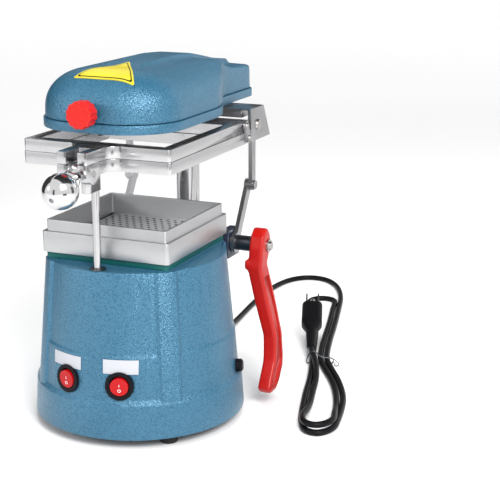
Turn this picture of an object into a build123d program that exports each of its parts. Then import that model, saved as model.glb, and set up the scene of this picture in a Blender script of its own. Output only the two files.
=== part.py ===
"""Dental vacuum former: round cast base, sheet clamp on a toggle lift, swinging heater head.

Millimetres. +Z up, the operator stands at -Y, the lever is at +X. The origin is on the table, on the
axis of the round base.
"""
from build123d import *
from math import atan2, cos, degrees, hypot, pi, radians, sin, tan
import os

# ---- fits ----
RUN_FIT = 0.05          # radial clearance of a shaft that turns or slides
SEAT_FIT = 0.02         # radial clearance of a piece that is seated for good
GAP = 0.3               # clearance between neighbours that move apart

# ---- feet and base casting ----
FOOT_H = 9.0
FOOT_R = 8.0
FOOT_AT = 58.0          # feet stand at (+-FOOT_AT, +-FOOT_AT)
BASE_H = 147.5          # casting, foot face to deck
SKIRT_R = 97.2
SKIRT_TOP_R = 95.2
SKIRT_H = 31.0
SKIRT_BEVEL_H = 4.5
DRUM_FOOT_R = 91.8
LEDGE_R = 89.0
LEDGE_H = 73.0
LEDGE_STEP_H = 2.0
UPPER_R = 87.2
TOP_R = 81.3
WALL = 4.0
DECK_T = 6.0
RIB_FACE = 17.0         # flat width of a corner rib
RIB_ROOT = 25.0
RIB_PROUD = 3.2
RIB_DEPTH = 6.5
RIB_RIDGE = 1.2
PAD = 120.0             # raised square on the deck
PAD_T = 1.0
PORT_D = 40.0           # suction port
COVER_T = 2.0
COVER_EDGE = 0.6        # gap round the bottom cover
COVER_RIM_H = 6.0
VENT_AT = 38.0          # radius of the ring of slots in the cover
VENTS = 12
VENT_L = 26.0
VENT_W = 4.0
COVER_NOTCH = 4.0       # the cover's rim keeps this far from the pillar

# ---- suction unit ----
FAN_DROP = 22.0         # deck top down to the fan housing
FAN_R = 58.0
FAN_T = 26.0
FAN_EYE_R = 16.0
MOTOR_R = 34.0
MOTOR_Z = 22.0          # height of the motor's underside
STAND_R = 28.0
DUCT_WALL = 3.0

# ---- column, rear rod and their boss ----
COLUMN_Y = 104.0
COLUMN_D = 19.0
COLUMN_BORE = 13.0
COLUMN_FOOT_Z = 40.0
ROD_Y = 125.0
ROD_D = 8.0
ROD_FOOT_Z = 60.0
PILLAR_HALF = 24.0
PILLAR_BACK = 139.0
PILLAR_FRONT = 80.0
PILLAR_R = 9.0
SADDLE_FRONT = 62.0
SADDLE_BACK = 98.0
SADDLE_H = 23.0
SADDLE_PROUD = 1.5
COLLAR_R = 16.0
COLLAR_H = 9.0

# ---- gasket, tray, perforated plate ----
GASKET_T = 6.0
GASKET_WALL = 9.0
TRAY_SKIRT = 125.0
TRAY_SKIRT_H = 18.8
TRAY_RIM = 118.2
TRAY_RIM_H = 10.2
TRAY_WALL = 2.6
TRAY_FLOOR = 3.0
PLATE_T = 1.5
PLATE_DEPTH = 19.0      # from the rim down to the perforated plate
PLATE_LEDGE = 4.0
HOLE_D = 3.4
HOLE_PITCH = 15.0
HOLE_ROWS = 7

# ---- sheet clamp ----
FRAME_HALF = 71.0
FRAME_FRONT = 72.0
FRAME_REAR = 97.0
FRAME_T = 10.7
WINDOW = 120.0
TRAVEL = 61.8
TRAY_GAP = GAP          # clamp above the tray ledge when lowered
UPPER_REAR = 95.0
RELIEF = 0.6            # under the upper plate behind its hinge
BOSS_HALF = 14.0
BOSS_FRONT = 111.0
BOSS_FILLET = 12.0
SLOT = 11.0
SLOT_DEPTH = 22.0
EAR_R = 9.5
CLAMP_PIN_Y = -99.0
CLAMP_PIN_D = 5.0
CLAMP_PIN_DROP = 8.1    # clamp pin below the joint face of the two plates
BOLT_D = 7.0
BOLT_DOWN = 18.0        # degrees below level at rest
BALL_R = 15.3
BALL_REACH = 32.5       # clamp pin to ball centre
NECK_R = 7.6
NECK_TIP_R = 5.0
NECK_FROM = 13.6
BOLT_EYE_R = 7.5
BOLT_END = 40.0         # clamp pin to the end of the bolt inside the ball
TIP_HOLE_D = 4.2
TIP_HOLE_DEPTH = 4.0
FRONT_ROD_Y = -73.5
FRONT_ROD_D = 7.0
FRONT_ROD_FOOT = 16.0   # reach of the rod below the deck
ROD_BLOCK_R = 4.6
ROD_BLOCK_H = 17.4
ROD_IN_BLOCK = 13.0
ROD_BLOCK_FRONT = -92.0
BUSH_R = 5.6
BUSH_FLANGE_R = 7.0
BUSH_FLANGE_T = 1.2
TAB_T = 2.0
TAB_R = 4.2
TAB_PIN_Y = 84.0
TAB_PIN_DROP = 3.8      # hinge pin below the top face
TAB_FOOT_Y = 90.5
TAB_FOOT_RISE = 5.1
TAB_PIN_D = 3.0
TAB_PIN_L = 8.0         # reach of the tab pins into the plates
TAB_HEAD_R = 2.8
TAB_HEAD_T = 1.6

# ---- crosshead and toggle ----
CHEEK_LAP = 2.7         # cheek's inner face inside the clamp's edge
CHEEK_T = 4.0
CHEEK_BACK_LOW = 143.0
CHEEK_BACK_TOP = 127.0
CHEEK_H = 31.1
BEAM_FRONT = 104.0
BEAM_BACK = 134.0
BEAM_RISE = 21.1        # beam underside above the lower plate's underside
BEAM_T = 9.0
POCKET_W = 8.8
POCKET_SKIN = 2.0
BLOCK_HALF = 19.0
HUB_R = 16.0
NOTCH_R = 17.5          # notch of the plates round the crosshead hub
WEB_ROOM = 4.0          # between the web's end and the crank
WEB_BACK = 138.0
SHAFT_Y = 82.0
SHAFT_DROP = 7.0        # shaft axis below the deck
SHAFT_D = 14.5
SHAFT_ROOM = 1.2        # room round the shaft inside the saddle
ELBOW_Y = 112.5
ELBOW_RISE = 50.5       # elbow above the shaft
HEAD_PIN_Y = 112.5
HEAD_PIN_RISE = 14.2    # crosshead pin above the lower plate's underside
CRANK_ROOM = 0.8        # between bearing block and crank
CRANK_T = 4.0
CRANK_HUB_R = 9.5
EYE_R = 5.6
ARM_HALF = 4.3
LINK_T = 3.8
LINK_GAP = 0.2
LINK_ROOM = 0.3         # between link and cheek
TOGGLE_PIN_D = 5.0
PIN_HEAD_R = 4.2
PIN_HEAD_T = 1.8
CHEEK_PIN_R = 5.6
BEARING_T = 9.2
BEARING_FRONT = 70.0
BEARING_BACK = 98.0
BEARING_LOW = 14.5
BEARING_HIGH = 12.5

# ---- lever handle ----
HANDLE_IN = 82.0
HANDLE_T = 14.0
HANDLE_DEPTH = 120.0    # front-to-back reach of the cut that gives the front outline
HANDLE_LOW = 137.5      # lowest outline point below the shaft axis
HANDLE_CLEAR = 12.0     # grip's lowest point above the table
HANDLE_SET = 16.5       # sideways set of the grip's tip, clear of the base skirt
SHAFT_IN_HANDLE = 9.0
LUG_T = 3.0
LUG_Y = 66.0
LUG_DROP = 16.0         # shaft axis down to the lug's middle
LUG_W = 7.0
LUG_H = 9.0
SPIGOT_D = 9.0          # stepped-down end of the shaft inside the handle
# outline seen from the side, (y, height over the shaft axis)
HANDLE_SIDE = (
    (77, 17.5), (70, 11), (66, 0), (65, -10), (62.5, -18), (63, -24), (65, -52.5), (69, -85.5),
    (66, -98), (63, -107.5), (56, -118.5), (48, -131), (52, -136.5), (66, -136.5), (74, -131),
    (84, -118.5), (85.5, -107.5), (87, -85.5), (86, -52.5), (82.5, -25), (81, -15.5), (84, -10.5),
    (88.5, -3), (89, 5), (86.5, 12), (81, 17.5),
)
# outline seen from the front, (distance outward, height over the shaft axis)
HANDLE_FRONT = (
    (0, 18.5), (0, -20), (6.5, -52.5), (13.5, -85.5), (16, -107.5), (16.5, -137.5), (29.5, -137.5),
    (29, -107.5), (27, -85.5), (20.5, -52.5), (14, -18), (14, 18.5),
)
WASHER_R = 6.2
WASHER_T = 1.2
SCREW_HEAD_R = 4.4
SCREW_HEAD_T = 2.2
SCREW_D = 5.0

# ---- heater head ----
HEAD_GAP = 1.0          # head above the crosshead
LIP_H = 8.0
LIP_WALL = 5.0
HEAD_HALF = 65.5
HEAD_FRONT = 82.0
HEAD_CORNER = 50.0
HEAD_SIDE_BACK = 34.0
LOBE_HALF = 42.0
LOBE_FROM = 108.0
LOBE_BACK = 182.0
LOBE_CORNER = 16.0
SHELL_IN = 1.6          # cover stands in from the lip
SHELL_H = 42.5          # seam up to the crown
SHELL_ROUND = 19.0
SHELL_BACK_H = 24.0     # seam up to the top at the rear end
LOBE_ROUND = 7.0
SHELL_TAIL = 60.0       # run over which the crown falls to the rear lobe
SHELL_WALL = 3.5
SPINE_HALF = 17.0
SPINE_FRONT = -34.0
SPINE_BACK = 168.0
SPINE_H = 4.5           # spine above the cover
PAN = 116.0
PAN_CORNER = 20.0
PAN_FLANGE = 6.0
PAN_H = 15.0
PAN_T = 1.2
HEAD_FLOOR_T = 3.0
COIL_D = 6.5
COIL_HALF = 42.0
COIL_PITCH = 20.0
COIL_DROP = 9.0         # pan ceiling down to the coil's axis
HEAD_HUB_R = 15.0
HEAD_HUB_H = 27.0
COLUMN_IN_HUB = 23.0
KNOB_R = 13.2
KNOB_T = 13.5
KNOB_LOBES = 12
KNOB_RISE = 17.5
KNOB_GAP = 5.6          # cover face to knob
STUD_D = 6.0
STUD_IN = 6.0
BUMPER_R = 2.4
BUMPER_AT = (5.0, -70.0)
BUMPER_DROP = 2.8

# ---- switches, fuse, gland, cord ----
SWITCH_Z = 57.5
SPOT = 1.0              # depth of the spot faces under bezels and fuse holder
SWITCH_ANGLE = 16.4
BEZEL_R = 12.6
BEZEL_T = 2.6
BEZEL_BORE = 9.2
BARREL_R = 10.4
BARREL_L = 17.0
ROCKER_R = 8.1
ROCKER_AXIS = 2.2       # rocker axis behind the front of the wall
ROCKER_SINK = 2.2
ROCKER_RISE = 4.6
ROCKER_PIN_R = 0.9
ROCKER_TILT = 7.0
FUSE_Z = 49.0
FUSE_ANGLE = 14.0
FUSE_R = 6.0
FUSE_T = 7.0
FUSE_BODY_R = 4.5
FUSE_BODY_L = 14.0
GLAND_Z = 36.0
GLAND_R = 6.5
GLAND_L = 24.0
GLAND_TIP_R = 3.4
GLAND_STEM_R = 4.8
GLAND_STEM_L = 8.0
CORD_D = 6.0
HANK_H = 6.4
TIE_T = 1.6
PLUG_W = 22.0
PLUG_T = 18.0
PLUG_CORNER = 6.0
PLUG_L = 42.0
PLUG_SHOULDER = 12.0    # run from the neck to the full body
PLUG_NECK_R = 6.2
PLUG_NECK_TIP_R = 4.4
PLUG_NECK_L = 28.0
PLUG_PITCH = 20.0       # degrees that the plug stands up from the table
BLADE_L = 17.0
BLADE_T = 1.6
BLADE_W = 6.4
BLADE_AT = 6.35         # blades to either side of the plug's axis
BLADE_OFF = 2.0         # blades towards the plug's upper side
EARTH_R = 2.4
EARTH_OFF = 5.5
EARTH_L = 19.0
BRIDGE_T = 2.0          # moulded-in bridge that joins the three pins

# ---- cord route on the table, hand-chosen points (x, y, z) ----
CORD_POINTS = (
    (0, 163, 36),
    (0, 184, 36),
    (-7, 212, 19),
    (-15, 242, 6),
    (-21, 280, 3),
    (-26, 322, 3),
    (-30, 364, 3),
    (-31, 408, 3),
    (-25, 446, 3),
    (-8, 467, 3),
    (15, 468, 3),
    (34, 453, 3),
    (49, 429, 3),
    (62, 397, 3),
    (67, 378, 3),
)
TAIL_POINTS = ((119, 156, 9.5), (110, 174, 10), (103.5, 184, 10.5), (98, 196, 11))
PLUG_AHEAD = (83, 239)
# outside of the hank, and the opening in its lower loop
HANK_OUTLINE = (
    (70, 380), (80, 345), (94.5, 289), (111.5, 222), (121, 191.5), (150.5, 141.5), (174, 91), (186.5, 45),
    (187, 20), (176, 5), (163, 4.5), (151, 13), (142, 35), (126.5, 94), (109.5, 157), (98.5, 189),
    (75.5, 262), (46.5, 337), (32, 364), (31, 380), (40, 391.5), (54, 392), (64, 386),
)
HANK_OPENING = (
    (127, 147), (139, 134.5), (151.5, 110.5), (161.5, 86.5), (169, 64), (174, 42), (173, 28), (165, 20),
    (156.5, 27), (152.5, 42), (147, 70), (139.3, 99), (132, 130),
)
TIE_AT = (113.5, 182)
TIE_TURN = 21.0
TIE_W = 30.0
TIE_L = 5.0

# ---- derived levels ----
BASE_Z = FOOT_H
DECK_Z = BASE_Z + BASE_H
PAD_Z = DECK_Z + PAD_T
TRAY_Z = PAD_Z + GASKET_T
LEDGE_Z = TRAY_Z + TRAY_SKIRT_H
RIM_Z = LEDGE_Z + TRAY_RIM_H
PLATE_Z = RIM_Z - PLATE_DEPTH
LOWER_Z = LEDGE_Z + TRAY_GAP + TRAVEL
JOINT_Z = LOWER_Z + FRAME_T
UPPER_Z = JOINT_Z + GAP
FRAME_TOP = UPPER_Z + FRAME_T - GAP
CHEEK_TOP = LOWER_Z + CHEEK_H
BEAM_Z = LOWER_Z + BEAM_RISE
HEAD_Z = CHEEK_TOP + HEAD_GAP
SEAM_Z = HEAD_Z + LIP_H
HEAD_PIN_Z = LOWER_Z + HEAD_PIN_RISE
CHEEK_IN = FRAME_HALF - CHEEK_LAP
LINK_IN = CHEEK_IN - LINK_ROOM - LINK_T
CRANK_IN = LINK_IN - LINK_GAP - CRANK_T
SADDLE_HALF = CRANK_IN - CRANK_ROOM - BEARING_T
WEB_HALF = CRANK_IN - WEB_ROOM
SHAFT_Z = DECK_Z - SHAFT_DROP
ELBOW_Z = SHAFT_Z + ELBOW_RISE
CLAMP_PIN_Z = JOINT_Z - CLAMP_PIN_DROP
COLUMN_TOP = HEAD_Z + COLUMN_IN_HUB
DUCT_R = PORT_D / 2
FAN_TOP = DECK_Z - FAN_DROP
FLOOR_Z = SEAM_Z - HEAD_FLOOR_T
PAN_TOP = FLOOR_Z + PAN_H

os.makedirs("parts", exist_ok=True)


def save(part, name):
    """Label a finished piece and write it as its own STEP file."""
    part.label = name
    export_step(part, f"parts/{name}.step")


def side_plane(x):
    """Plane at x whose own x axis is +Y and whose normal is +X."""
    return Plane(origin=(x, 0, 0), x_dir=(0, 1, 0), z_dir=(1, 0, 0))


def wall_plane(angle, level):
    """Plane touching the sloping drum wall, at an angle from +X and a height; its normal points out."""
    foot = BASE_Z + SKIRT_H + SKIRT_BEVEL_H
    slope = (DRUM_FOOT_R - LEDGE_R) / (BASE_Z + LEDGE_H - foot)
    radius = DRUM_FOOT_R - slope * (level - foot)
    east = cos(radians(angle))
    north = sin(radians(angle))
    return Plane(
        origin=(radius * east, radius * north, level),
        x_dir=(-north, east, 0),
        z_dir=(east, north, slope),
    )


# ============================ base casting ============================
with BuildPart() as base:
    with BuildSketch(Plane.XZ):
        with BuildLine():
            Polyline(
                (0, DECK_Z),
                (TOP_R, DECK_Z),
                (UPPER_R, BASE_Z + LEDGE_H + LEDGE_STEP_H),
                (LEDGE_R, BASE_Z + LEDGE_H),
                (DRUM_FOOT_R, BASE_Z + SKIRT_H + SKIRT_BEVEL_H),
                (SKIRT_TOP_R, BASE_Z + SKIRT_H),
                (SKIRT_R, BASE_Z),
                (SKIRT_R - WALL, BASE_Z),
                (SKIRT_TOP_R - WALL, BASE_Z + SKIRT_H),
                (DRUM_FOOT_R - WALL, BASE_Z + SKIRT_H + SKIRT_BEVEL_H),
                (LEDGE_R - WALL, BASE_Z + LEDGE_H),
                (UPPER_R - WALL, BASE_Z + LEDGE_H + LEDGE_STEP_H),
                (TOP_R - WALL, DECK_Z - DECK_T),
                (0, DECK_Z - DECK_T),
                close=True,
            )
        make_face()
    revolve(axis=Axis.Z)
    # corner ribs that run from the skirt to the corners of the square deck pad
    for turn in (45, 135, 225, 315):
        for level, face_r in ((BASE_Z + SKIRT_H, DRUM_FOOT_R + RIB_PROUD), (DECK_Z, TOP_R + RIB_PROUD)):
            ground = Plane(origin=(0, 0, level), x_dir=(cos(radians(turn)), sin(radians(turn)), 0))
            with BuildSketch(ground):
                with BuildLine():
                    Polyline(
                        (face_r - RIB_DEPTH, -RIB_ROOT / 2),
                        (face_r - RIB_RIDGE, -RIB_FACE / 2),
                        (face_r, 0),
                        (face_r - RIB_RIDGE, RIB_FACE / 2),
                        (face_r - RIB_DEPTH, RIB_ROOT / 2),
                        close=True,
                    )
                make_face()
        loft()
    # raised square under the gasket
    with BuildSketch(Plane.XY.offset(DECK_Z)):
        RectangleRounded(PAD, PAD, 3)
    extrude(amount=PAD_T)
    # pillar behind the drum for the column, and the cross boss for the lever shaft
    with BuildSketch(Plane.XY.offset(BASE_Z)):
        with Locations((0, (PILLAR_FRONT + PILLAR_BACK) / 2)):
            RectangleRounded(2 * PILLAR_HALF, PILLAR_BACK - PILLAR_FRONT, PILLAR_R)
    extrude(amount=BASE_H + SADDLE_PROUD)
    with BuildSketch(Plane.XY.offset(DECK_Z + SADDLE_PROUD)):
        with Locations((0, (SADDLE_FRONT + SADDLE_BACK) / 2)):
            Rectangle(2 * SADDLE_HALF, SADDLE_BACK - SADDLE_FRONT)
    extrude(amount=-SADDLE_H)
    # bores: suction port, column, rear rod, lever shaft, front rod bush
    with BuildSketch(Plane.XY.offset(PAD_Z)):
        Circle(DUCT_R)
        with Locations((0, FRONT_ROD_Y)):
            Circle(BUSH_R + SEAT_FIT)
    extrude(amount=-2 * DECK_T, mode=Mode.SUBTRACT)
    with BuildSketch(Plane.XY.offset(COLUMN_FOOT_Z)):
        with Locations((0, COLUMN_Y)):
            Circle(COLUMN_D / 2 + SEAT_FIT)
    extrude(amount=BASE_H + FOOT_H, mode=Mode.SUBTRACT)
    with BuildSketch(Plane.XY.offset(ROD_FOOT_Z)):
        with Locations((0, ROD_Y)):
            Circle(ROD_D / 2 + SEAT_FIT)
    extrude(amount=BASE_H + FOOT_H, mode=Mode.SUBTRACT)
    with BuildSketch(side_plane(0)):
        with Locations((SHAFT_Y, SHAFT_Z)):
            Circle(SHAFT_D / 2 + SHAFT_ROOM)
    extrude(amount=SADDLE_HALF, both=True, mode=Mode.SUBTRACT)
    # switch and fuse holes, square to the sloping wall
    for angle in (-SWITCH_ANGLE, SWITCH_ANGLE):
        with BuildSketch(wall_plane(angle - 90, SWITCH_Z)):
            Circle(BARREL_R + SEAT_FIT)
        extrude(amount=-2 * WALL, mode=Mode.SUBTRACT)
        with BuildSketch(wall_plane(angle - 90, SWITCH_Z)):
            Circle(BEZEL_R + SEAT_FIT)
        extrude(amount=-SPOT, mode=Mode.SUBTRACT)
    with BuildSketch(wall_plane(FUSE_ANGLE, FUSE_Z)):
        Circle(FUSE_BODY_R + SEAT_FIT)
    extrude(amount=-2 * WALL, mode=Mode.SUBTRACT)
    with BuildSketch(wall_plane(FUSE_ANGLE, FUSE_Z).offset(-SPOT)):
        Circle(FUSE_R + SEAT_FIT)
    extrude(amount=FUSE_T, mode=Mode.SUBTRACT)
    with BuildSketch(Plane(origin=(0, PILLAR_BACK, GLAND_Z), x_dir=(1, 0, 0), z_dir=(0, 1, 0))):
        Circle(GLAND_STEM_R + SEAT_FIT)
    extrude(amount=-GLAND_STEM_L - 1, mode=Mode.SUBTRACT)
save(base.part, "base_housing")

with BuildPart() as cover:
    inner_low = SKIRT_R - WALL
    inner_high = inner_low + (SKIRT_TOP_R - SKIRT_R) * (COVER_T + COVER_RIM_H) / SKIRT_H
    cover_r = min(inner_low, inner_high) - COVER_EDGE
    with BuildSketch(Plane.XY.offset(BASE_Z)):
        Circle(cover_r)
        with Locations((0, PILLAR_FRONT + PILLAR_HALF)):
            Rectangle(2 * PILLAR_HALF + 2 * COVER_EDGE, 2 * PILLAR_HALF + 2 * COVER_EDGE, mode=Mode.SUBTRACT)
        with PolarLocations(VENT_AT, VENTS):
            SlotOverall(VENT_L, VENT_W, mode=Mode.SUBTRACT)
    extrude(amount=COVER_T)
    with BuildSketch(Plane.XY.offset(BASE_Z + COVER_T)):
        Circle(cover_r)
        Circle(cover_r - 3, mode=Mode.SUBTRACT)
        with Locations((0, PILLAR_FRONT + PILLAR_HALF)):
            Rectangle(2 * PILLAR_HALF + 2 * COVER_NOTCH, 2 * PILLAR_HALF + 2 * COVER_NOTCH, mode=Mode.SUBTRACT)
    extrude(amount=COVER_RIM_H)
save(cover.part, "bottom_cover")

for number, corner in enumerate(((-1, -1), (1, -1), (1, 1), (-1, 1)), start=1):
    with BuildPart() as foot:
        with BuildSketch() as sole:
            with Locations((corner[0] * FOOT_AT, corner[1] * FOOT_AT)):
                Circle(FOOT_R)
        extrude(amount=FOOT_H)
        chamfer(foot.edges().group_by(Axis.Z)[0], length=1.2)
    save(foot.part, f"rubber_foot_{number}")

# ============================ suction unit ============================
with BuildPart() as duct:
    with BuildSketch(Plane.XY.offset(DECK_Z - DECK_T)):
        Circle(DUCT_R + DUCT_WALL)
        Circle(DUCT_R, mode=Mode.SUBTRACT)
    extrude(amount=FAN_TOP - DECK_Z + DECK_T)
save(duct.part, "suction_duct")

with BuildPart() as fan:
    with BuildSketch(Plane.XY.offset(FAN_TOP)):
        Circle(FAN_R)
    extrude(amount=-FAN_T)
    fillet(fan.edges(), radius=4)
    with BuildSketch(Plane.XY.offset(FAN_TOP)):
        Circle(FAN_EYE_R)
    extrude(amount=-FAN_T / 2, mode=Mode.SUBTRACT)
save(fan.part, "fan_housing")

with BuildPart() as motor:
    with BuildSketch(Plane.XY.offset(FAN_TOP - FAN_T)):
        Circle(MOTOR_R)
    extrude(amount=MOTOR_Z - FAN_TOP + FAN_T)
    chamfer(motor.edges().group_by(Axis.Z)[0], length=4)
save(motor.part, "vacuum_motor")

with BuildPart() as stand:
    with BuildSketch(Plane.XY.offset(BASE_Z + COVER_T)):
        Circle(STAND_R)
        Circle(STAND_R - 4, mode=Mode.SUBTRACT)
    extrude(amount=MOTOR_Z - BASE_Z - COVER_T)
save(stand.part, "motor_stand")

# ============================ gasket, tray, perforated plate ============================
with BuildPart() as gasket:
    with BuildSketch(Plane.XY.offset(PAD_Z)):
        RectangleRounded(PAD, PAD, 3)
        Rectangle(PAD - 2 * GASKET_WALL, PAD - 2 * GASKET_WALL, mode=Mode.SUBTRACT)
    extrude(amount=GASKET_T)
save(gasket.part, "deck_gasket")

with BuildPart() as tray:
    with BuildSketch(Plane.XY.offset(TRAY_Z)):
        RectangleRounded(TRAY_SKIRT, TRAY_SKIRT, 3.5)
    extrude(amount=TRAY_SKIRT_H)
    with BuildSketch(Plane.XY.offset(LEDGE_Z)):
        RectangleRounded(TRAY_RIM, TRAY_RIM, 2.5)
    extrude(amount=TRAY_RIM_H)
    inner = TRAY_RIM - 2 * TRAY_WALL
    with BuildSketch(Plane.XY.offset(RIM_Z)):
        RectangleRounded(inner, inner, 1.5)
    extrude(amount=-PLATE_DEPTH - PLATE_T, mode=Mode.SUBTRACT)
    with BuildSketch(Plane.XY.offset(RIM_Z)):
        Rectangle(inner - 2 * PLATE_LEDGE, inner - 2 * PLATE_LEDGE)
    extrude(amount=-(RIM_Z - TRAY_Z - TRAY_FLOOR), mode=Mode.SUBTRACT)
    with BuildSketch(Plane.XY.offset(RIM_Z)):
        Circle(DUCT_R)
    extrude(amount=-(RIM_Z - TRAY_Z), mode=Mode.SUBTRACT)
    chamfer(tray.edges().filter_by(GeomType.LINE).filter_by(lambda e: abs(e.center().Z - RIM_Z) < 0.01), 0.5)
save(tray.part, "vacuum_tray")

with BuildPart() as sieve:
    with BuildSketch(Plane.XY.offset(PLATE_Z - PLATE_T)):
        plate_side = TRAY_RIM - 2 * TRAY_WALL - 2 * SEAT_FIT
        RectangleRounded(plate_side, plate_side, 1.5)
        with GridLocations(HOLE_PITCH, HOLE_PITCH, HOLE_ROWS, HOLE_ROWS):
            Circle(HOLE_D / 2, mode=Mode.SUBTRACT)
    extrude(amount=PLATE_T)
save(sieve.part, "perforated_plate")

# ============================ column, rods, bearings ============================
with BuildPart() as column:
    with BuildSketch(Plane.XY.offset(COLUMN_FOOT_Z)):
        with Locations((0, COLUMN_Y)):
            Circle(COLUMN_D / 2)
            Circle(COLUMN_BORE / 2, mode=Mode.SUBTRACT)
    extrude(amount=COLUMN_TOP - COLUMN_FOOT_Z)
save(column.part, "heater_column")

with BuildPart() as collar:
    with BuildSketch(Plane.XY.offset(DECK_Z + SADDLE_PROUD)):
        with Locations((0, COLUMN_Y)):
            Circle(COLLAR_R)
            Circle(COLUMN_D / 2 + SEAT_FIT, mode=Mode.SUBTRACT)
    extrude(amount=COLLAR_H)
    chamfer(collar.edges().group_by(Axis.Z)[-1].sort_by(SortBy.RADIUS)[-1], length=1)
save(collar.part, "column_collar")

with BuildPart() as rear_rod:
    with BuildSketch(Plane.XY.offset(ROD_FOOT_Z)):
        with Locations((0, ROD_Y)):
            Circle(ROD_D / 2)
    extrude(amount=CHEEK_TOP - 0.5 - ROD_FOOT_Z)
    chamfer(rear_rod.edges().group_by(Axis.Z)[-1], length=0.8)
save(rear_rod.part, "guide_rod_rear")

with BuildPart() as bush:
    with BuildSketch(Plane.XY.offset(DECK_Z)):
        with Locations((0, FRONT_ROD_Y)):
            Circle(BUSH_R)
    extrude(amount=-DECK_T)
    with BuildSketch(Plane.XY.offset(DECK_Z)):
        with Locations((0, FRONT_ROD_Y)):
            Circle(BUSH_FLANGE_R)
    extrude(amount=BUSH_FLANGE_T)
    with BuildSketch(Plane.XY.offset(DECK_Z + BUSH_FLANGE_T)):
        with Locations((0, FRONT_ROD_Y)):
            Circle(FRONT_ROD_D / 2 + RUN_FIT)
    extrude(amount=-2 * DECK_T, mode=Mode.SUBTRACT)
save(bush.part, "front_rod_bush")

for side, name in ((-1, "left"), (1, "right")):
    with BuildPart() as bearing:
        with BuildSketch(side_plane(side * SADDLE_HALF)):
            with Locations(((BEARING_FRONT + BEARING_BACK) / 2, SHAFT_Z + (BEARING_HIGH - BEARING_LOW) / 2)):
                RectangleRounded(BEARING_BACK - BEARING_FRONT, BEARING_HIGH + BEARING_LOW, 3)
            with Locations((SHAFT_Y, SHAFT_Z)):
                Circle(SHAFT_D / 2 + RUN_FIT, mode=Mode.SUBTRACT)
        extrude(amount=side * BEARING_T)
    save(bearing.part, f"bearing_block_{name}")

# ============================ switches, fuse holder, gland ============================
for side, name in ((-1, "left"), (1, "right")):
    spot = wall_plane(side * SWITCH_ANGLE - 90, SWITCH_Z)
    with BuildPart() as bezel:
        with BuildSketch(spot.offset(-SPOT)):
            Circle(BEZEL_R)
        extrude(amount=BEZEL_T)
        with BuildSketch(spot.offset(-SPOT)):
            Circle(BARREL_R)
        extrude(amount=-BARREL_L)
        with BuildSketch(spot.offset(BEZEL_T)):
            Circle(BEZEL_BORE)
        extrude(amount=-BEZEL_T - ROCKER_AXIS - ROCKER_SINK - 2, mode=Mode.SUBTRACT)
        with BuildSketch(Plane(origin=spot.offset(-ROCKER_AXIS).origin, x_dir=spot.z_dir, z_dir=spot.x_dir)):
            Circle(ROCKER_PIN_R + RUN_FIT)
        extrude(amount=BARREL_R - 0.2, both=True, mode=Mode.SUBTRACT)
    save(bezel.part, f"switch_bezel_{name}")
    tilt = radians(ROCKER_TILT)
    axle = Plane(
        origin=spot.offset(-ROCKER_AXIS).origin,
        x_dir=spot.x_dir,
        z_dir=spot.z_dir * cos(tilt) - spot.y_dir * sin(tilt),
    )
    with BuildPart() as rocker:
        with BuildSketch(axle.offset(-ROCKER_SINK)):
            Circle(ROCKER_R)
        extrude(amount=ROCKER_SINK + ROCKER_RISE)
        with BuildSketch(Plane(origin=axle.origin, x_dir=axle.z_dir, z_dir=axle.x_dir)):
            Circle(ROCKER_PIN_R)
        extrude(amount=BARREL_R - 0.5, both=True)
    save(rocker.part, f"rocker_{name}")

with BuildPart() as fuse:
    with BuildSketch(wall_plane(FUSE_ANGLE, FUSE_Z).offset(-SPOT)):
        Circle(FUSE_R)
    extrude(amount=FUSE_T)
    chamfer(fuse.edges().filter_by(GeomType.CIRCLE).sort_by(Axis.X)[-1], length=1.5)
    with BuildSketch(wall_plane(FUSE_ANGLE, FUSE_Z).offset(-SPOT)):
        Circle(FUSE_BODY_R)
    extrude(amount=-FUSE_BODY_L)
save(fuse.part, "fuse_holder")

rear_face = Plane(origin=(0, PILLAR_BACK, GLAND_Z), x_dir=(1, 0, 0), z_dir=(0, 1, 0))
with BuildPart() as gland:
    with BuildSketch(rear_face):
        Circle(GLAND_R)
    extrude(amount=GLAND_L, taper=degrees(atan2(GLAND_R - GLAND_TIP_R, GLAND_L)))
    with BuildSketch(rear_face):
        Circle(GLAND_STEM_R)
    extrude(amount=-GLAND_STEM_L)
save(gland.part, "cord_gland")

# ============================ sheet clamp, carried by the crosshead ============================


def plate_outline(half, rear):
    """Plan of a clamp plate: square window, front boss with its slot, notch round the crosshead hub."""
    with BuildSketch() as flat:
        with Locations((0, (rear - FRAME_FRONT) / 2)):
            Rectangle(2 * half, rear + FRAME_FRONT)
        with Locations((0, -(FRAME_FRONT + BOSS_FRONT) / 2)):
            Rectangle(2 * BOSS_HALF, BOSS_FRONT - FRAME_FRONT)
        roots = flat.vertices().filter_by(lambda v: abs(v.Y + FRAME_FRONT) < 0.1 and abs(v.X) < BOSS_HALF + 1)
        fillet(roots, radius=BOSS_FILLET)
        corners = flat.vertices().filter_by(lambda v: v.Y < -FRAME_FRONT + 1 and abs(v.X) > half - 1)
        fillet(corners, radius=3)
        Rectangle(WINDOW, WINDOW, mode=Mode.SUBTRACT)
        with Locations((0, -BOSS_FRONT)):
            Rectangle(SLOT, 2 * SLOT_DEPTH, mode=Mode.SUBTRACT)
        with Locations((0, COLUMN_Y)):
            Circle(NOTCH_R, mode=Mode.SUBTRACT)
    return flat.sketch


lower_flat = plate_outline(FRAME_HALF, FRAME_REAR)
upper_flat = plate_outline(FRAME_HALF - GAP, UPPER_REAR)

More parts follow.
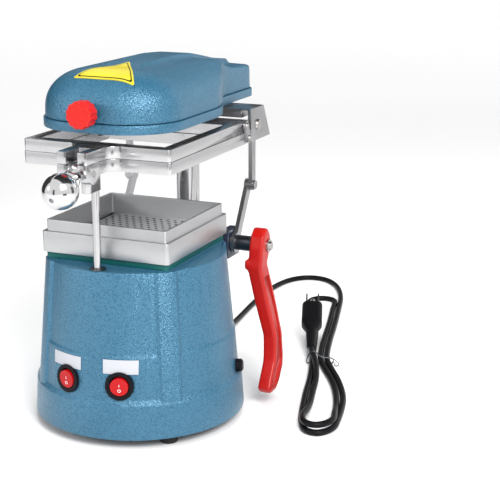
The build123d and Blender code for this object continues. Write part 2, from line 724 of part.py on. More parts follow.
with BuildPart() as lower:
    add(lower_flat.moved(Location((0, 0, LOWER_Z))))
    extrude(amount=FRAME_T)
    # ears that hold the clamp pin
    for side in (-1, 1):
        with BuildSketch(side_plane(side * SLOT / 2)):
            with Locations((CLAMP_PIN_Y, CLAMP_PIN_Z)):
                Circle(EAR_R)
            with Locations((CLAMP_PIN_Y, JOINT_Z - EAR_R * 2)):
                Rectangle(EAR_R * 4, EAR_R * 4, mode=Mode.INTERSECT)
        extrude(amount=side * (BOSS_HALF - SLOT / 2))
    # block that holds the front rod
    with BuildSketch(Plane.XY.offset(LOWER_Z)):
        with Locations((0, (FRONT_ROD_Y + ROD_BLOCK_R + ROD_BLOCK_FRONT) / 2)):
            SlotOverall(FRONT_ROD_Y + ROD_BLOCK_R - ROD_BLOCK_FRONT, 2 * ROD_BLOCK_R, rotation=90)
    extrude(amount=-ROD_BLOCK_H)
    with BuildSketch(Plane.XY.offset(LOWER_Z - ROD_BLOCK_H)):
        with Locations((0, FRONT_ROD_Y)):
            Circle(FRONT_ROD_D / 2 + SEAT_FIT)
    extrude(amount=ROD_IN_BLOCK, mode=Mode.SUBTRACT)
    with BuildSketch(side_plane(0)):
        with Locations((CLAMP_PIN_Y, CLAMP_PIN_Z)):
            Circle(CLAMP_PIN_D / 2 + SEAT_FIT)
    extrude(amount=BOSS_HALF + 1, both=True, mode=Mode.SUBTRACT)
    with BuildSketch(side_plane(0)):
        with Locations((TAB_FOOT_Y, LOWER_Z + TAB_FOOT_RISE)):
            Circle(TAB_PIN_D / 2 + SEAT_FIT)
    extrude(amount=FRAME_HALF + 1, both=True, mode=Mode.SUBTRACT)
save(lower.part, "lower_clamp_plate")

with BuildPart() as upper:
    add(upper_flat.moved(Location((0, 0, UPPER_Z))))
    extrude(amount=FRAME_T - GAP)
    with BuildSketch(side_plane(0)):
        with Locations((TAB_PIN_Y, FRAME_TOP - TAB_PIN_DROP)):
            Circle(TAB_PIN_D / 2 + RUN_FIT)
    extrude(amount=FRAME_HALF + 1, both=True, mode=Mode.SUBTRACT)
    # relief behind the hinge, so the rear edge clears the lower plate as the front lifts
    with BuildSketch(side_plane(0)):
        with Locations(((TAB_PIN_Y + UPPER_REAR) / 2 + 1, UPPER_Z)):
            Rectangle(UPPER_REAR - TAB_PIN_Y + 2, 2 * RELIEF)
    extrude(amount=FRAME_HALF + 1, both=True, mode=Mode.SUBTRACT)
save(upper.part, "upper_clamp_plate")

with BuildPart() as crosshead:
    for side in (-1, 1):
        with BuildSketch(side_plane(side * CHEEK_IN)):
            with BuildLine():
                Polyline(
                    (FRAME_REAR, LOWER_Z),
                    (CHEEK_BACK_LOW, LOWER_Z),
                    (CHEEK_BACK_TOP, CHEEK_TOP),
                    (FRAME_REAR, CHEEK_TOP),
                    close=True,
                )
            make_face()
            with Locations((HEAD_PIN_Y, HEAD_PIN_Z)):
                Circle(TOGGLE_PIN_D / 2 + SEAT_FIT, mode=Mode.SUBTRACT)
        extrude(amount=side * CHEEK_T)
    with BuildSketch(Plane.XY.offset(BEAM_Z)):
        with Locations((0, (BEAM_FRONT + BEAM_BACK) / 2)):
            Rectangle(2 * CHEEK_IN, BEAM_BACK - BEAM_FRONT)
    extrude(amount=BEAM_T)
    with BuildSketch(Plane.XY.offset(LOWER_Z)):
        with Locations((0, (FRAME_REAR + WEB_BACK) / 2)):
            Rectangle(2 * BLOCK_HALF, WEB_BACK - FRAME_REAR)
        with Locations((0, COLUMN_Y)):
            Circle(HUB_R)
    extrude(amount=BEAM_RISE + BEAM_T)
    with BuildSketch(Plane.XY.offset(LOWER_Z)):
        with Locations((0, (FRAME_REAR + WEB_BACK) / 2)):
            Rectangle(2 * WEB_HALF, WEB_BACK - FRAME_REAR)
    extrude(amount=FRAME_T)
    # pockets under the beam that let the links' eyes swing
    for side in (-1, 1):
        with BuildSketch(Plane.XY.offset(BEAM_Z)):
            with Locations((side * (CHEEK_IN - POCKET_W / 2), (BEAM_FRONT + BEAM_BACK) / 2)):
                Rectangle(POCKET_W, BEAM_BACK - BEAM_FRONT)
        extrude(amount=BEAM_T - POCKET_SKIN, mode=Mode.SUBTRACT)
    with BuildSketch(Plane.XY.offset(LOWER_Z)):
        with Locations((0, COLUMN_Y)):
            Circle(COLUMN_D / 2 + RUN_FIT)
        with Locations((0, ROD_Y)):
            Circle(ROD_D / 2 + RUN_FIT)
    extrude(amount=CHEEK_H + 1, mode=Mode.SUBTRACT)
save(crosshead.part, "rear_crosshead")

with BuildPart() as front_rod:
    with BuildSketch(Plane.XY.offset(DECK_Z - FRONT_ROD_FOOT)):
        with Locations((0, FRONT_ROD_Y)):
            Circle(FRONT_ROD_D / 2)
    extrude(amount=LOWER_Z - ROD_BLOCK_H + ROD_IN_BLOCK - DECK_Z + FRONT_ROD_FOOT)
    chamfer(front_rod.edges().group_by(Axis.Z)[0], length=0.8)
save(front_rod.part, "front_guide_rod")

with BuildPart() as clamp_pin:
    with BuildSketch(side_plane(-BOSS_HALF)):
        with Locations((CLAMP_PIN_Y, CLAMP_PIN_Z)):
            Circle(CLAMP_PIN_D / 2)
    extrude(amount=2 * BOSS_HALF)
save(clamp_pin.part, "clamp_pin")

for side, name in ((-1, "left"), (1, "right")):
    with BuildPart() as head_pin:
        with BuildSketch(side_plane(side * CHEEK_IN)):
            with Locations((HEAD_PIN_Y, HEAD_PIN_Z)):
                Circle(TOGGLE_PIN_D / 2)
        extrude(amount=side * CHEEK_T)
        with BuildSketch(side_plane(side * (CHEEK_IN + CHEEK_T))):
            with Locations((HEAD_PIN_Y, HEAD_PIN_Z)):
                Circle(CHEEK_PIN_R)
        extrude(amount=side * PIN_HEAD_T, taper=20)
    save(head_pin.part, f"crosshead_pin_{name}")

    rise = FRAME_TOP - TAB_PIN_DROP - LOWER_Z - TAB_FOOT_RISE
    run = TAB_FOOT_Y - TAB_PIN_Y
    with BuildPart() as tab:
        with BuildSketch(side_plane(side * FRAME_HALF)):
            with Locations(Location(
                ((TAB_PIN_Y + TAB_FOOT_Y) / 2, LOWER_Z + TAB_FOOT_RISE + rise / 2),
                (0, 0, 180 - degrees(atan2(rise, run))),
            )):
                SlotOverall(hypot(rise, run) + 2 * TAB_R, 2 * TAB_R)
            with Locations((TAB_PIN_Y, FRAME_TOP - TAB_PIN_DROP), (TAB_FOOT_Y, LOWER_Z + TAB_FOOT_RISE)):
                Circle(TAB_PIN_D / 2 + SEAT_FIT, mode=Mode.SUBTRACT)
        extrude(amount=side * TAB_T)
    save(tab.part, f"hinge_tab_{name}")

    for pin_y, pin_z, level in (
        (TAB_PIN_Y, FRAME_TOP - TAB_PIN_DROP, "upper"),
        (TAB_FOOT_Y, LOWER_Z + TAB_FOOT_RISE, "lower"),
    ):
        with BuildPart() as tab_pin:
            with BuildSketch(side_plane(side * (FRAME_HALF - TAB_PIN_L))):
                with Locations((pin_y, pin_z)):
                    Circle(TAB_PIN_D / 2)
            extrude(amount=side * (TAB_PIN_L + TAB_T))
            with BuildSketch(side_plane(side * (FRAME_HALF + TAB_T))):
                with Locations((pin_y, pin_z)):
                    Circle(TAB_HEAD_R)
            extrude(amount=side * TAB_HEAD_T, taper=20)
        save(tab_pin.part, f"{level}_tab_pin_{name}")

# swing bolt: its own z axis runs from the clamp pin out along the bolt
bolt_line = Plane(
    origin=(0, CLAMP_PIN_Y, CLAMP_PIN_Z),
    x_dir=(1, 0, 0),
    z_dir=(0, -cos(radians(BOLT_DOWN)), -sin(radians(BOLT_DOWN))),
)
with BuildPart() as bolt:
    with BuildSketch(side_plane(0)):
        with Locations((CLAMP_PIN_Y, CLAMP_PIN_Z)):
            Circle(BOLT_EYE_R)
    extrude(amount=SLOT / 2 - GAP, both=True)
    with BuildSketch(bolt_line):
        Circle(BOLT_D / 2)
    extrude(amount=BOLT_END)
    with BuildSketch(side_plane(0)):
        with Locations((CLAMP_PIN_Y, CLAMP_PIN_Z)):
            Circle(CLAMP_PIN_D / 2 + RUN_FIT)
    extrude(amount=SLOT, both=True, mode=Mode.SUBTRACT)
save(bolt.part, "swing_bolt")

with BuildPart() as ball:
    with BuildSketch(Plane(origin=bolt_line.origin, x_dir=(1, 0, 0), z_dir=bolt_line.y_dir)):
        with BuildLine():
            join = BALL_REACH - (BALL_R**2 - NECK_TIP_R**2) ** 0.5
            Polyline((0, -NECK_FROM), (NECK_R, -NECK_FROM), (NECK_R, -NECK_FROM - 1.5), (NECK_TIP_R, -join))
            ThreePointArc((NECK_TIP_R, -join), (BALL_R, -BALL_REACH), (0, -BALL_REACH - BALL_R))
            Line((0, -BALL_REACH - BALL_R), (0, -NECK_FROM))
        make_face()
    revolve(axis=Axis(bolt_line.origin, bolt_line.z_dir))
    with BuildSketch(bolt_line.offset(NECK_FROM)):
        Circle(BOLT_D / 2 + RUN_FIT)
    extrude(amount=BOLT_END + 1 - NECK_FROM, mode=Mode.SUBTRACT)
    with BuildSketch(bolt_line.offset(BALL_REACH + BALL_R)):
        Circle(TIP_HOLE_D / 2)
    extrude(amount=-TIP_HOLE_DEPTH, mode=Mode.SUBTRACT)
save(ball.part, "ball_nut")

# ============================ toggle and lever ============================
with BuildPart() as shaft:
    with BuildSketch(side_plane(-CRANK_IN - CRANK_T)):
        with Locations((SHAFT_Y, SHAFT_Z)):
            Circle(SHAFT_D / 2)
    extrude(amount=CRANK_IN + CRANK_T + HANDLE_IN)
    with BuildSketch(side_plane(HANDLE_IN)):
        with Locations((SHAFT_Y, SHAFT_Z)):
            Circle(SPIGOT_D / 2)
    extrude(amount=SHAFT_IN_HANDLE)
save(shaft.part, "lever_shaft")


def arm(start, end, bore_start, bore_end, hub_r):
    """Flat arm between two (y, z) centres with a hub at the first, an eye at the second and both bores."""
    run = end[0] - start[0]
    rise = end[1] - start[1]
    with BuildSketch() as flat:
        middle = ((start[0] + end[0]) / 2, (start[1] + end[1]) / 2)
        with Locations(Location(middle, (0, 0, degrees(atan2(rise, run))))):
            Rectangle(hypot(run, rise), 2 * ARM_HALF)
        with Locations(start):
            Circle(hub_r)
        with Locations(end):
            Circle(EYE_R)
        with Locations(start):
            Circle(bore_start, mode=Mode.SUBTRACT)
        if bore_end:
            with Locations(end):
                Circle(bore_end, mode=Mode.SUBTRACT)
    return flat.sketch


SHAFT_AT = (SHAFT_Y, SHAFT_Z)
ELBOW_AT = (ELBOW_Y, ELBOW_Z)
HEAD_PIN_AT = (HEAD_PIN_Y, HEAD_PIN_Z)
crank_flat = arm(SHAFT_AT, ELBOW_AT, SHAFT_D / 2 + SEAT_FIT, 0, CRANK_HUB_R)
link_flat = arm(ELBOW_AT, HEAD_PIN_AT, TOGGLE_PIN_D / 2 + RUN_FIT, TOGGLE_PIN_D / 2 + RUN_FIT, EYE_R)
for side, name in ((-1, "left"), (1, "right")):
    with BuildPart() as crank:
        with BuildSketch(side_plane(side * CRANK_IN)):
            add(crank_flat)
        extrude(amount=side * CRANK_T)
        with BuildSketch(side_plane(side * (CRANK_IN + CRANK_T))):
            with Locations(ELBOW_AT):
                Circle(TOGGLE_PIN_D / 2)
        extrude(amount=side * (LINK_T + 2 * LINK_GAP))
        with BuildSketch(side_plane(side * (LINK_IN + LINK_T + LINK_GAP))):
            with Locations(ELBOW_AT):
                Circle(PIN_HEAD_R)
        extrude(amount=side * PIN_HEAD_T)
    save(crank.part, f"crank_{name}")

    with BuildPart() as link:
        with BuildSketch(side_plane(side * LINK_IN)):
            add(link_flat)
        extrude(amount=side * LINK_T)
    save(link.part, f"upper_link_{name}")



def handle_level(rise):
    """Height of an outline point: below the shaft the grip is as long as the shaft's height allows."""
    stretch = (SHAFT_Z - HANDLE_CLEAR) / HANDLE_LOW
    return SHAFT_Z + (rise * stretch if rise < 0 else rise)


with BuildPart() as handle:
    with BuildSketch(side_plane(HANDLE_IN)):
        with BuildLine():
            Polyline(*[(y, handle_level(z)) for y, z in HANDLE_SIDE], close=True)
        make_face()
    extrude(amount=HANDLE_T + HANDLE_SET)
    with BuildSketch(Plane.XZ.offset(HANDLE_DEPTH / 2 - SHAFT_Y)):
        with BuildLine():
            Polyline(*[(HANDLE_IN + x, handle_level(z)) for x, z in HANDLE_FRONT], close=True)
        make_face()
    extrude(amount=-HANDLE_DEPTH, mode=Mode.INTERSECT)
    with BuildSketch(side_plane(HANDLE_IN)):
        with Locations(SHAFT_AT):
            Circle(SPIGOT_D / 2 + SEAT_FIT)
    extrude(amount=SHAFT_IN_HANDLE, mode=Mode.SUBTRACT)
    with BuildSketch(side_plane(HANDLE_IN)):
        with Locations((LUG_Y, SHAFT_Z - LUG_DROP)):
            RectangleRounded(LUG_W, LUG_H, 1)
    extrude(amount=-LUG_T)
    with BuildSketch(side_plane(HANDLE_IN)):
        with Locations(SHAFT_AT):
            Circle(SCREW_D / 2 + SEAT_FIT)
    extrude(amount=HANDLE_T + 1, mode=Mode.SUBTRACT)
save(handle.part, "lever_handle")

with BuildPart() as screw:
    with BuildSketch(side_plane(HANDLE_IN + SHAFT_IN_HANDLE)):
        with Locations(SHAFT_AT):
            Circle(SCREW_D / 2)
    extrude(amount=HANDLE_T - SHAFT_IN_HANDLE)
    with BuildSketch(side_plane(HANDLE_IN + HANDLE_T)):
        with Locations(SHAFT_AT):
            Circle(WASHER_R)
    extrude(amount=WASHER_T)
    with BuildSketch(side_plane(HANDLE_IN + HANDLE_T + WASHER_T)):
        with Locations(SHAFT_AT):
            Circle(SCREW_HEAD_R)
    extrude(amount=SCREW_HEAD_T, taper=15)
save(screw.part, "handle_screw")

# ============================ heater head ============================


def head_plan(inset, level):
    """Plan face of the head at a height, drawn in from its outer edge."""
    half = HEAD_HALF - inset
    corner = HEAD_CORNER - inset
    centre = HEAD_HALF - HEAD_CORNER
    lobe = LOBE_HALF - inset
    round_r = LOBE_CORNER - inset
    diagonal = 2**-0.5
    with BuildSketch(Plane.XY.offset(level)) as plan:
        with BuildLine():
            Line((0, inset - HEAD_FRONT), (centre, inset - HEAD_FRONT))
            ThreePointArc(
                (centre, inset - HEAD_FRONT),
                (centre + corner * diagonal, HEAD_CORNER - HEAD_FRONT - corner * diagonal),
                (half, HEAD_CORNER - HEAD_FRONT),
            )
            Line((half, HEAD_CORNER - HEAD_FRONT), (half, HEAD_SIDE_BACK))
            Spline((half, HEAD_SIDE_BACK), (lobe, LOBE_FROM), tangents=((0, 1), (0, 1)))
            Line((lobe, LOBE_FROM), (lobe, LOBE_BACK - LOBE_CORNER))
            ThreePointArc(
                (lobe, LOBE_BACK - LOBE_CORNER),
                (lobe - round_r + round_r * diagonal, LOBE_BACK - LOBE_CORNER + round_r * diagonal),
                (lobe - round_r, LOBE_BACK - inset),
            )
            Line((lobe - round_r, LOBE_BACK - inset), (0, LOBE_BACK - inset))
            Line((0, LOBE_BACK - inset), (0, inset - HEAD_FRONT))
        make_face()
        mirror(about=Plane.YZ)
    return plan.sketch


def shell_block(inset, foot):
    """Solid under the domed cover: the plan cut to the side profile and to the front arch."""
    front = SHELL_IN + inset - HEAD_FRONT
    back = LOBE_BACK - SHELL_IN - inset
    crown = SEAM_Z + SHELL_H - inset
    tail = SEAM_Z + SHELL_BACK_H - inset
    half = HEAD_HALF - SHELL_IN - inset
    with BuildPart() as block:
        add(head_plan(SHELL_IN + inset, foot))
        extrude(amount=crown + 1 - foot)
        with BuildSketch(Plane.YZ):
            with BuildLine():
                edge = Spline(
                    (front, crown - SHELL_ROUND - 2),
                    (front + SHELL_ROUND, crown - 8.5),
                    (-10, crown),
                    (25, crown - 0.5),
                    (back - SHELL_TAIL, (crown + tail) / 2 + 2),
                    (back - LOBE_ROUND, tail),
                    tangents=((0, 1), (1, -0.22)),
                )
                Polyline(edge @ 1, (back, tail - LOBE_ROUND), (back, foot), (front, foot), edge @ 0)
            make_face()
        extrude(amount=HEAD_HALF, both=True, mode=Mode.INTERSECT)
        with BuildSketch(Plane.XZ.offset(-LOBE_BACK - 1)) as arch:
            with Locations((0, (foot + crown) / 2)):
                Rectangle(2 * half, crown - foot)
            fillet(arch.vertices().group_by(Axis.Y)[-1], radius=SHELL_ROUND - inset)
        extrude(amount=LOBE_BACK + HEAD_FRONT + 2, mode=Mode.INTERSECT)
    return block.part


with BuildPart() as head_base:
    add(head_plan(0, HEAD_Z))
    extrude(amount=LIP_H)
    add(head_plan(LIP_WALL, HEAD_Z))
    extrude(amount=LIP_H - HEAD_FLOOR_T, mode=Mode.SUBTRACT)
    with BuildSketch(Plane.XY.offset(FLOOR_Z)):
        RectangleRounded(PAN - 2 * PAN_FLANGE, PAN - 2 * PAN_FLANGE, PAN_CORNER - PAN_FLANGE)
        with Locations((0, COLUMN_Y)):
            Circle(HEAD_HUB_R + SEAT_FIT)
    extrude(amount=HEAD_FLOOR_T, mode=Mode.SUBTRACT)
save(head_base.part, "head_base")

outer_shell = shell_block(0, SEAM_Z)
inner_shell = shell_block(SHELL_WALL, SEAM_Z - 1)
with BuildPart() as head_cover:
    add(outer_shell)
    # raised spine along the crown
    with BuildSketch(Plane.YZ):
        with BuildLine():
            crown_z = SEAM_Z + SHELL_H
            tail_z = SEAM_Z + SHELL_BACK_H
            ridge = Spline(
                (SPINE_FRONT, crown_z - 1),
                (SPINE_FRONT + 30, crown_z + SPINE_H - 0.5),
                (15, crown_z + SPINE_H),
                (SPINE_BACK / 2, (crown_z + tail_z) / 2 + SPINE_H + 6),
                (SPINE_BACK - 4, tail_z + SPINE_H),
            )
            Polyline(
                ridge @ 1,
                (SPINE_BACK, tail_z - 1),
                (SPINE_BACK - 8, tail_z - 6),
                (SPINE_FRONT, crown_z - 9),
                ridge @ 0,
            )
        make_face()
    extrude(amount=SPINE_HALF, both=True)
    add(inner_shell, mode=Mode.SUBTRACT)
    with BuildSketch(Plane.XZ.offset(HEAD_FRONT)):
        with Locations((0, SEAM_Z + KNOB_RISE - LIP_H)):
            Circle(STUD_D / 2 + SEAT_FIT)
    extrude(amount=-STUD_IN - SHELL_IN - 1, mode=Mode.SUBTRACT)
save(head_cover.part, "head_cover")

with BuildPart() as pan:
    with BuildSketch(Plane.XY.offset(FLOOR_Z - PAN_T)):
        RectangleRounded(PAN, PAN, PAN_CORNER)
    extrude(amount=PAN_T)
    with BuildSketch(Plane.XY.offset(FLOOR_Z)):
        opening = PAN - 2 * PAN_FLANGE - 2 * SEAT_FIT
        RectangleRounded(opening, opening, PAN_CORNER - PAN_FLANGE)
    extrude(amount=PAN_H)
    with BuildSketch(Plane.XY.offset(FLOOR_Z - PAN_T)):
        RectangleRounded(opening - 2 * PAN_T, opening - 2 * PAN_T, PAN_CORNER - PAN_FLANGE - PAN_T)
    extrude(amount=PAN_H, mode=Mode.SUBTRACT)
save(pan.part, "reflector_pan")

coil_z = PAN_TOP - PAN_T - COIL_DROP
with BuildPart() as coil:
    with BuildLine():
        FilletPolyline(
            (-COIL_HALF, -2 * COIL_PITCH, PAN_TOP - PAN_T),
            (-COIL_HALF, -2 * COIL_PITCH, coil_z),
            (COIL_HALF, -2 * COIL_PITCH, coil_z),
            (COIL_HALF, -COIL_PITCH, coil_z),
            (-COIL_HALF, -COIL_PITCH, coil_z),
            (-COIL_HALF, 0, coil_z),
            (COIL_HALF, 0, coil_z),
            (COIL_HALF, COIL_PITCH, coil_z),
            (-COIL_HALF, COIL_PITCH, coil_z),
            (-COIL_HALF, 2 * COIL_PITCH, coil_z),
            (COIL_HALF, 2 * COIL_PITCH, coil_z),
            (COIL_HALF, 2 * COIL_PITCH, PAN_TOP - PAN_T),
            radius=COIL_D,
        )
    with BuildSketch(Plane(origin=(-COIL_HALF, -2 * COIL_PITCH, PAN_TOP - PAN_T), z_dir=(0, 0, -1))):
        Circle(COIL_D / 2)
    sweep()
save(coil.part, "heating_coil")

with BuildPart() as hub:
    with BuildSketch(Plane.XY.offset(HEAD_Z)):
        with Locations((0, COLUMN_Y)):
            Circle(HEAD_HUB_R)
    extrude(amount=HEAD_HUB_H)
    with BuildSketch(Plane.XY.offset(HEAD_Z)):
        with Locations((0, COLUMN_Y)):
            Circle(COLUMN_D / 2 + RUN_FIT)
    extrude(amount=COLUMN_IN_HUB + RUN_FIT, mode=Mode.SUBTRACT)
save(hub.part, "head_hub")

with BuildPart() as knob:
    with BuildSketch(Plane.XZ.offset(HEAD_FRONT - SHELL_IN + KNOB_GAP)):
        with Locations((0, HEAD_Z + KNOB_RISE)):
            Circle(KNOB_R)
            with PolarLocations(KNOB_R + 1.6, KNOB_LOBES):
                Circle(2.6, mode=Mode.SUBTRACT)
    extrude(amount=KNOB_T)
    with BuildSketch(Plane.XZ.offset(HEAD_FRONT - SHELL_IN - STUD_IN)):
        with Locations((0, HEAD_Z + KNOB_RISE)):
            Circle(STUD_D / 2)
    extrude(amount=STUD_IN + KNOB_GAP)
save(knob.part, "grip_knob")

with BuildPart() as bumper:
    with BuildSketch(Plane.XY.offset(FLOOR_Z)):
        with Locations(BUMPER_AT):
            Circle(BUMPER_R)
    extrude(amount=HEAD_Z - BUMPER_DROP - FLOOR_Z)
save(bumper.part, "lip_bumper")

# ============================ power cord ============================


def rounded_run(points, least):
    """Straight runs through the points, joined by tangent arcs; prints the radii."""
    pieces = []
    radii = []
    here = Vector(*points[0])
    for before, at, after in zip(points, points[1:], points[2:]):
        back = Vector(*before) - Vector(*at)
        ahead = Vector(*after) - Vector(*at)
        turn = 180 - back.get_angle(ahead)
        reach = 0.45 * min(back.length, ahead.length)
        radius = reach / tan(radians(turn / 2))
        radii.append(round(radius, 1))
        start = Vector(*at) + back.normalized() * reach
        end = Vector(*at) + ahead.normalized() * reach
        bisector = (back.normalized() + ahead.normalized()).normalized()
        centre_far = (radius**2 + reach**2) ** 0.5
        middle = Vector(*at) + bisector * (centre_far - radius)
        pieces.append(Edge.make_line(here, start))
        pieces.append(Edge.make_three_point_arc(start, middle, end))
        here = end
    pieces.append(Edge.make_line(here, Vector(*points[-1])))
    print("cord radii", radii, "least", min(radii), "allowed", least)
    return Wire(pieces)


def tube(route, diameter):
    """Round tube along a wire."""
    with BuildPart() as run:
        with BuildSketch(Plane(origin=route @ 0, z_dir=route % 0)):
            Circle(diameter / 2)
        sweep(path=route)
    section = pi * diameter**2 / 4
    print("cord volume", round(run.part.volume), "section x length", round(section * route.length))
    return run.part


tail_tube = tube(rounded_run(TAIL_POINTS, 3 * CORD_D), CORD_D)
save(tube(rounded_run(CORD_POINTS, 3 * CORD_D), CORD_D), "power_cord")
save(tail_tube, "plug_tail")

with BuildPart() as hank:
    with BuildSketch():
        with BuildLine():
            Spline(*HANK_OUTLINE, periodic=True)
        make_face()
        with BuildLine():
            Spline(*HANK_OPENING, periodic=True)
        make_face(mode=Mode.SUBTRACT)
    extrude(amount=HANK_H)
save(hank.part, "cord_hank")

with BuildPart() as tie:
    with BuildSketch(Plane.XY):
        with Locations(Location(TIE_AT, (0, 0, TIE_TURN))):
            Rectangle(TIE_W, TIE_L)
    extrude(amount=HANK_H + CORD_D + 2 * TIE_T)
    add(hank.part, mode=Mode.SUBTRACT)
    add(tail_tube, mode=Mode.SUBTRACT)
save(tie.part, "cord_tie")

plug_flat = (Vector(*PLUG_AHEAD) - Vector(*TAIL_POINTS[-1][:2])).normalized()
plug_plane = Plane(
    origin=TAIL_POINTS[-1],
    x_dir=(plug_flat.Y, -plug_flat.X, 0),
    z_dir=plug_flat * cos(radians(PLUG_PITCH)) + Vector(0, 0, 1) * sin(radians(PLUG_PITCH)),
)
plug_face = plug_plane.offset(PLUG_NECK_L + PLUG_L)
with BuildPart() as prongs:
    with BuildSketch(plug_face):
        with Locations((-BLADE_AT, -BLADE_OFF), (BLADE_AT, -BLADE_OFF)):
            Rectangle(BLADE_T, BLADE_W)
    extrude(amount=BLADE_L)
    with BuildSketch(plug_face):
        with Locations((0, EARTH_OFF)):
            Circle(EARTH_R)
    extrude(amount=EARTH_L)
    with BuildSketch(plug_face):
        with Locations((0, (EARTH_OFF - BLADE_OFF) / 2)):
            Rectangle(2 * BLADE_AT + BLADE_T, EARTH_OFF + BLADE_OFF + BLADE_T)
    extrude(amount=-BRIDGE_T)
save(prongs.part, "plug_prongs")

with BuildPart() as plug:
    with BuildSketch(plug_plane):
        Circle(PLUG_NECK_TIP_R)
    with BuildSketch(plug_plane.offset(PLUG_NECK_L)):
        Circle(PLUG_NECK_R)
    loft()
    with BuildSketch(plug_plane.offset(PLUG_NECK_L)):
        RectangleRounded(2 * PLUG_NECK_R, 2 * PLUG_NECK_R, PLUG_NECK_R - 0.5)
    with BuildSketch(plug_plane.offset(PLUG_NECK_L + PLUG_SHOULDER)):
        RectangleRounded(PLUG_W, PLUG_T, PLUG_CORNER)
    loft()
    with BuildSketch(plug_plane.offset(PLUG_NECK_L + PLUG_SHOULDER)):
        RectangleRounded(PLUG_W, PLUG_T, PLUG_CORNER)
    extrude(amount=PLUG_L - PLUG_SHOULDER)
    add(prongs.part, mode=Mode.SUBTRACT)
save(plug.part, "plug_body")
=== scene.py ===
"""Looks of a dental vacuum former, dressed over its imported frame.

Every length is in metres. +Z is up, the operator stands at -Y and the lever is on the +X side.
"""
import logging
import math
from dataclasses import dataclass, field
from enum import Enum
from typing import Any, Callable, Iterable, Sequence

import bpy
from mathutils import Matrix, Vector


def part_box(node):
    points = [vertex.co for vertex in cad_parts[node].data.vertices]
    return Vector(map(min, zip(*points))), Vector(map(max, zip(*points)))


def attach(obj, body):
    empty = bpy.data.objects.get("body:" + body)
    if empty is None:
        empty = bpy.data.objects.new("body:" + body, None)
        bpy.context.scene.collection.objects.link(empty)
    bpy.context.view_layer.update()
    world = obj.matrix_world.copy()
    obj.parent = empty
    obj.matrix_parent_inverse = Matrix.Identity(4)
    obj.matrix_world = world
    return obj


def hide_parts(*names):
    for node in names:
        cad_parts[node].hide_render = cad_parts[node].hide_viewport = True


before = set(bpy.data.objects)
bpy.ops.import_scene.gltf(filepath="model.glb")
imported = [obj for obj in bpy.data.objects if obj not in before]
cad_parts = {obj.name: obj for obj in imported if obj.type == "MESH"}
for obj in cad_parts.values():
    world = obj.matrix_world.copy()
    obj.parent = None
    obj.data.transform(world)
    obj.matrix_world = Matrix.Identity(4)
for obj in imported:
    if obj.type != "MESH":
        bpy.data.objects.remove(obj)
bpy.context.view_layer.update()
LOG = logging.getLogger("vacuum_former")
MM = 0.001
WELD = 2e-6
SHARP = 32.0  # degrees over which an edge counts as sharp
ROUND = 60.0  # the same on a rounded piece

Colour = tuple[float, float, float]
Point = tuple[float, float, float]


# ---------------------------------------------------------------- shader tools
class Sock:
    """A value in a shader graph that takes part in Python arithmetic."""

    def __init__(self, graph: "Graph", socket: bpy.types.NodeSocket) -> None:
        """Wraps an output socket of a graph."""
        self.graph = graph
        self.socket = socket

    def _math(self, operation: str, first: Any, second: Any = 0.0) -> "Sock":
        """Adds one Math node.

        Args:
            operation: the node's operation.
            first: its first input, a number or a Sock.
            second: its second input.

        Returns:
            The node's result.
        """
        return self.graph.node("ShaderNodeMath", {"operation": operation}, {0: first, 1: second})

    def __add__(self, other: Any) -> "Sock":
        """Sum."""
        return self._math("ADD", self, other)

    __radd__ = __add__

    def __mul__(self, other: Any) -> "Sock":
        """Product."""
        return self._math("MULTIPLY", self, other)

    __rmul__ = __mul__


